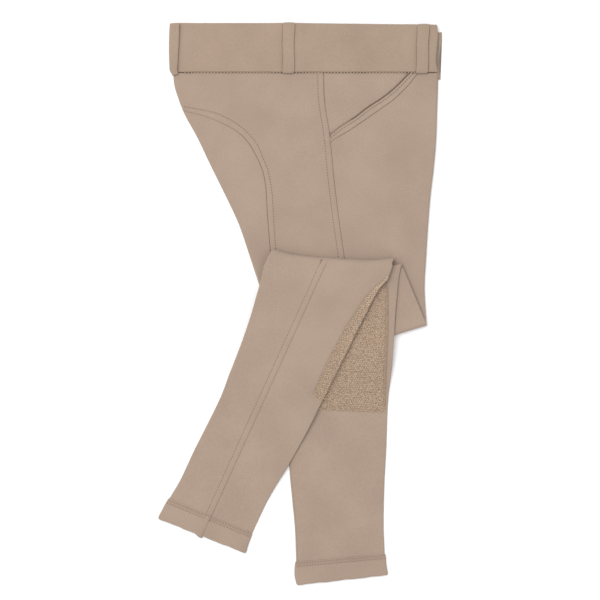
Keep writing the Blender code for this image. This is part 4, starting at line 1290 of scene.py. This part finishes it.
def on_leg(leg, down, across, lift=STITCH_LIFT):
    """A point on the upper side of a lower leg."""
    x, y = leg_point(leg["origin"], leg["lean"], down, across)
    return (x, y, leg["base"](x, y) + LEG_TUBE + leg["relief"](x, y) + lift)


def offset_path(path, distance):
    """The path moved sideways: positive is to the left of someone who walks down it."""
    moved = []
    for k, (x, y) in enumerate(path):
        ax, ay = path[max(k - 1, 0)]
        bx, by = path[min(k + 1, len(path) - 1)]
        size = math.hypot(bx - ax, by - ay)
        moved.append((x - (by - ay) / size * distance, y + (bx - ax) / size * distance))
    return moved


def body_sewing(right):
    """Topstitching of the seat seam, side seam and pocket of one half."""
    seat = [(curve(SEAT_STITCH, y), y) for y in spaced(217.2, -40.0, 170)]
    side = [p for p in offset_path(SIDE_PATH, -FELL) if -50 < p[1] < 252.5]
    pocket = [p for p in offset_path(OPENING_PATH, 2.6)
              if p[1] < 253.5 and p[0] > curve(SIDE_SEAM, p[1]) + 1.5]
    return [[on_body(x, y, right) for x, y in path] for path in (seat, side, pocket)]


def waist_sewing():
    """Stitches in the ditch under the waistband's edge, on the upper half."""
    path = []
    for x in spaced(-127.0, 128.0, 130):
        near = min(abs(x - foot) for _, _, foot in LOOPS)
        if near < 7.0:
            continue
        z = BODY_HEIGHT + body_relief(x, 254.0, True)
        path.append((x, 254.5 + 0.12 * math.sin(x / 6.0), z + 0.85))
    breaks = [k for k in range(1, len(path)) if path[k][0] - path[k - 1][0] > 6]
    parts, start = [], 0
    for k in breaks + [len(path)]:
        parts.append(path[start:k])
        start = k
    return parts


def right_leg_sewing():
    """Topstitching beside the side seam, over the top fold and down to the hem."""
    path = []
    for angle in (30, 15, 0):
        s = rolled(RIGHT, angle)
        path.append(s["at"](s["axis"] - FELL, LEG_TUBE + STITCH_LIFT))
    path += [on_leg(RIGHT, down, -FELL) for down in spaced(3.0, 311.5, 150)]
    return path


def hem_sewing(leg):
    """Two rows of stitches and the thread between them, at the top of the turned-up hem."""
    rows = {}
    for key, place in (("upper", 0.12), ("middle", 0.27), ("lower", 0.42)):
        s = section(leg, row_at(leg["hem"], place))
        rows[key] = [s["at"](t, HEM_TUBE + STITCH_LIFT) for t in spaced(2.0, s["width"] - 2.0, 60)]
    return rows


def patch_edge(grid, inset, sides, lift=0.15):
    """Paths a little inside the sides of a patch's grid."""
    paths = []
    if "front" in sides:
        paths.append([row[-1 - inset] for row in grid])
    if "back" in sides:
        paths.append([row[inset] for row in grid])
    if "bottom" in sides:
        paths.append(list(grid[-1 - inset]))
    return [[(x, y, z + lift) for x, y, z in path] for path in paths]


def sew_all(threads, pale_threads, suede_thread, trees):
    """Every line of stitching, as joined pieces."""
    lock, zig = trees["stitch"], trees["zigzag"]
    stitch = {"Pitch": 2.9 * MM, "Length": 1.7 * MM, "Thread": 0.85 * MM, "Turn": 0.2, "Seed": 3,
              "Material": threads}
    grown("right_thigh_topstitch", lock, body_sewing(True), stitch)
    grown("left_thigh_topstitch", lock, body_sewing(False), {**stitch, "Thread": 0.4 * MM})
    grown("waist_seam_stitch", lock, waist_sewing(),
          {**stitch, "Pitch": 3.5 * MM, "Length": 2.1 * MM, "Thread": 1.4 * MM,
           "Material": pale_threads})
    grown("right_calf_topstitch", lock, [right_leg_sewing()], {**stitch, "Thread": 0.7 * MM})
    for leg in (RIGHT, LEFT):
        rows = hem_sewing(leg)
        grown(f"{leg['side']}_hem_stitch", lock, [rows["upper"], rows["lower"]],
              {**stitch, "Pitch": 2.9 * MM, "Length": 1.4 * MM, "Thread": 0.65 * MM})
        grown(f"{leg['side']}_hem_thread", zig, [rows["middle"]],
              {"Pitch": 4.0 * MM, "Width": 2.8 * MM, "Thread": 0.2 * MM, "Material": pale_threads})
    for side, grid, sides in (("left", left_patch_grid(1.6), ("front", "back", "bottom")),
                              ("right", right_patch_grid(1.6), ("back",))):
        grown(f"{side}_patch_zigzag", zig,
              patch_edge(grid, 1, sides) + patch_edge(grid, 3, sides),
              {"Pitch": 2.7 * MM, "Width": 2.7 * MM, "Thread": 0.95 * MM, "Material": suede_thread})


def nub_points(grid, keep):
    """Places for nubs, on every point of a grid that the test keeps, with odd rows set between."""
    points = []
    for r, row in enumerate(grid):
        for c in range(len(row) - 1):
            if not keep(r, c, len(row)):
                continue
            if r % 2:
                points.append(tuple(0.5 * (row[c][k] + row[c + 1][k]) for k in range(3)))
            else:
                points.append(row[c])
    return points


# Materials

def linear(hex_colour):
    channels = [int(hex_colour[k:k + 2], 16) / 255 for k in (0, 2, 4)]
    return [c / 12.92 if c <= 0.04045 else ((c + 0.055) / 1.055) ** 2.4 for c in channels] + [1.0]


def start_material(name, roughness, sheen):
    material = bpy.data.materials.new(name)
    material.use_nodes = True
    tree = material.node_tree
    shader = tree.nodes["Principled BSDF"]
    shader.inputs["Roughness"].default_value = roughness
    shader.inputs["Specular IOR Level"].default_value = 0.22
    shader.inputs["Sheen Weight"].default_value = sheen
    shader.inputs["Sheen Roughness"].default_value = 0.45
    place = add(tree, "ShaderNodeTexCoord").outputs["Object"]
    return material, tree, place


PAINTED_SHADE_BROWN = "5F4835"        # painted shade: cloth in a fold or a seam is darkened towards this brown


def finished(material, colour, height=None, strength=0.0, distance=0.0):
    """The material with its colour, and with its relief, whose distance is in millimetres."""
    tree = material.node_tree
    shader = tree.nodes["Principled BSDF"]
    tree.links.new(colour.outputs[2], shader.inputs["Base Color"])
    if height:
        bump = add(tree, "ShaderNodeBump",
                   {"Height": height, "Strength": strength, "Distance": distance * MM})
        tree.links.new(bump.outputs[0], shader.inputs["Normal"])
    return material


def twill(name, light, dark, grain_angle=0.0, crisp=1.0):
    """Stretch twill, brushed matt: an even face with faint diagonal ribs and slow tone changes, darkened
    towards brown in its folds and seams as painted shade.

    The ribs are drawn 4.2 mm apart, much wider than real twill's, so that they show.
    """
    material, tree, place = start_material(name, 0.86, 0.18)
    turned = add(tree, "ShaderNodeMapping", {"Vector": place, "Rotation": (0, 0, math.radians(grain_angle))})
    patches = add(tree, "ShaderNodeTexNoise", {"Vector": turned, "Scale": 22.0, "Detail": 2.0})
    flecks = add(tree, "ShaderNodeTexNoise", {"Vector": turned, "Scale": 620.0, "Detail": 1.0})
    tone = add(tree, "ShaderNodeMix", {"Factor": 0.45, "A": patches, "B": flecks},
               data_type="FLOAT")
    spread = add(tree, "ShaderNodeMapRange",
                 {"Value": tone, "From Min": 0.36, "From Max": 0.64})
    colour = add(tree, "ShaderNodeMix", {"Factor": spread}, data_type="RGBA")
    colour.inputs[6].default_value = linear(dark)
    colour.inputs[7].default_value = linear(light)
    # painted shade: ambient occlusion darkens the colour towards the painted-shade brown wherever other
    # cloth is close, in folds, seams and under edges
    near = add(tree, "ShaderNodeAmbientOcclusion", {"Distance": 3.2 * MM}, samples=8)
    depth = add(tree, "ShaderNodeMapRange",
                {"Value": near.outputs["AO"], "From Min": 0.25, "From Max": 0.75})
    painted_shade_colour = add(tree, "ShaderNodeMix", {"Factor": depth}, data_type="RGBA")
    painted_shade_colour.inputs[6].default_value = linear(PAINTED_SHADE_BROWN)
    tree.links.new(colour.outputs[2], painted_shade_colour.inputs[7])
    ribs = add(tree, "ShaderNodeTexWave",
               {"Vector": turned, "Scale": 105.0, "Distortion": 1.2, "Detail": 1.0,
                "Detail Scale": 3.0}, wave_type="BANDS", bands_direction="DIAGONAL")
    pile = add(tree, "ShaderNodeTexNoise", {"Vector": turned, "Scale": 900.0, "Detail": 2.0})
    height = add(tree, "ShaderNodeMix", {"Factor": 0.5, "A": ribs.outputs[1], "B": pile},
                 data_type="FLOAT")
    return finished(material, painted_shade_colour, height, 0.35 * crisp, 0.12)


def suede(name, light, dark):
    """Grip suede for the knees: a short nap broken into light and dark grains 2 mm across, each grain's
    random tone painted lighter where its bump rises, a painted highlight on the raised grains.
    """
    material, tree, place = start_material(name, 0.95, 0.3)
    cells = add(tree, "ShaderNodeTexVoronoi", {"Vector": place, "Scale": 420.0, "Randomness": 1.0})
    nap = add(tree, "ShaderNodeTexNoise", {"Vector": place, "Scale": 800.0, "Detail": 3.0})
    tone = add(tree, "ShaderNodeMix", {"Factor": 0.5, "A": cells.outputs["Distance"], "B": nap},
               data_type="FLOAT")
    spread = add(tree, "ShaderNodeMapRange",
                 {"Value": tone, "From Min": 0.3, "From Max": 0.62})
    # painted highlight: the same tone drives the bump, so raised grains are painted lighter on top of their
    # random tone
    colour = add(tree, "ShaderNodeMix", {"Factor": spread}, data_type="RGBA")
    colour.inputs[6].default_value = linear(dark)
    colour.inputs[7].default_value = linear(light)
    return finished(material, colour, tone, 0.8, 0.4)


def thread(name, light, dark):
    """Spun polyester thread: matt, with a fine twist that breaks its colour."""
    material, tree, place = start_material(name, 0.7, 0.1)
    twist = add(tree, "ShaderNodeTexNoise", {"Vector": place, "Scale": 1500.0, "Detail": 1.0})
    colour = add(tree, "ShaderNodeMix", {"Factor": twist}, data_type="RGBA")
    colour.inputs[6].default_value = linear(dark)
    colour.inputs[7].default_value = linear(light)
    return finished(material, colour, twist, 0.5, 0.1)


def paper(name):
    """White background paper: smooth and matt, with no visible grain."""
    material, tree, place = start_material(name, 0.95, 0.0)
    mottle = add(tree, "ShaderNodeTexNoise", {"Vector": place, "Scale": 3.0, "Detail": 1.0})
    colour = add(tree, "ShaderNodeMix", {"Factor": mottle}, data_type="RGBA")
    colour.inputs[6].default_value = linear("F4F4F4")
    colour.inputs[7].default_value = linear("F6F6F6")
    return finished(material, colour)


# Floor, light and camera

def studio():
    """A pale floor, one large soft lamp from the upper left, and an even white surround."""
    floor_material = paper("white background paper")
    half = 4000.0
    floor = new_piece("floor", [(-half, -half, FLOOR), (half, -half, FLOOR), (half, half, FLOOR),
                                (-half, half, FLOOR)], [(0, 1, 2, 3)], floor_material, smooth=False)
    PIECES.remove(floor)
    world = bpy.data.worlds.new("even white surround")
    world.use_nodes = True
    sky = world.node_tree.nodes["Background"]
    sky.inputs["Color"].default_value = (1.0, 1.0, 1.0, 1.0)
    sky.inputs["Strength"].default_value = SURROUND
    bpy.context.scene.world = world
    lamp_data = bpy.data.lights.new("soft lamp", "AREA")
    lamp_data.shape = "SQUARE"
    lamp_data.size = LAMP_SIZE
    lamp_data.energy = LAMP_POWER
    lamp = bpy.data.objects.new("soft lamp", lamp_data)
    lamp.location = LAMP_PLACE
    lamp.rotation_euler = lamp.location.to_track_quat("Z", "Y").to_euler()
    bpy.context.scene.collection.objects.link(lamp)


def camera():
    """Straight above, with a long lens that takes in 660 mm of the floor."""
    data = bpy.data.cameras.new("camera")
    data.sensor_width = 36.0
    data.lens = 36.0 * (CAMERA_HEIGHT - CLOTH_HEIGHT) / VIEW_WIDTH
    data.clip_end = 20.0
    eye = bpy.data.objects.new("camera", data)
    eye.location = (VIEW_CENTRE[0], VIEW_CENTRE[1], CAMERA_HEIGHT)
    bpy.context.scene.collection.objects.link(eye)
    bpy.context.scene.camera = eye


def main():
    cloth_body = twill("brushed stretch twill", "9E8B7C", "958274")
    cloth_leg = twill("brushed stretch twill on the right leg", "9E8B7C", "958274", RIGHT_LEG_LEAN)
    band = twill("interfaced twill", "9B8877", "927F6F", 0.0, 0.7)
    nap = suede("grip suede", "9C8672", "7F6B5A")
    loops = thread("grip suede nubs", "C6B099", "A9947F")
    # painted shade: this thread is coloured well below the cloth's tone, partly its own colour and partly
    # the shade of the needle holes that the stitches sit in
    sewing = thread("polyester thread", "7E6B5A", "705E4E")
    pale = thread("polyester thread, pale", "AE9A85", "A08C78")

    for right in (True, False):
        body_panels(right, cloth_body)
        waistband(right, band)
        half = "right" if right else "left"
        for name, top, foot in LOOPS:
            belt_loop(f"belt_loop_{half}_{name}_strap", top, foot, right, band)
    back_loop(band)
    hidden_layers(cloth_body)
    left_return(cloth_body)
    lower_leg(LEFT, False, cloth_body)
    lower_leg(RIGHT, True, cloth_leg)
    hem(LEFT, cloth_body)
    hem(RIGHT, cloth_leg)
    cloth("left_knee_suede", left_patch_grid(1.3), PATCH, nap)
    cloth("right_knee_suede", right_patch_grid(1.3), PATCH, nap)

    trees = {"stitch": stitch_tree(), "zigzag": zigzag_tree(), "nub": nub_tree()}
    sew_all(sewing, pale, loops, trees)
    nub = {"Length": 2.6 * MM, "Width": 1.25 * MM, "Height": 0.85 * MM, "Stray": 0.6 * MM, "Seed": 11,
           "Material": loops}
    left_points = nub_points(left_patch_grid(2.5), lambda r, c, n: 1 <= c <= n - 3)
    right_points = nub_points(right_patch_grid(2.5), lambda r, c, n: 1 <= c <= 5 or c > 15)
    grown("left_knee_nubs", trees["nub"], [left_points], nub, as_points=True)
    grown("right_knee_nubs", trees["nub"], [right_points], nub, as_points=True)

    for piece in PIECES:
        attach(piece, "root")
        if piece.name.startswith(("waistband", "belt_loop")):
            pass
        elif "knee_suede" in piece.name or "nubs" in piece.name or "patch" in piece.name:
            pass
        else:
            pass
    for name, solid, width, length, area in CLOTH_PIECES:
        piece = bpy.data.objects[name]
        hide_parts(solid)

    studio()
    camera()
    bpy.context.scene.view_settings.view_transform = "Standard"


main()
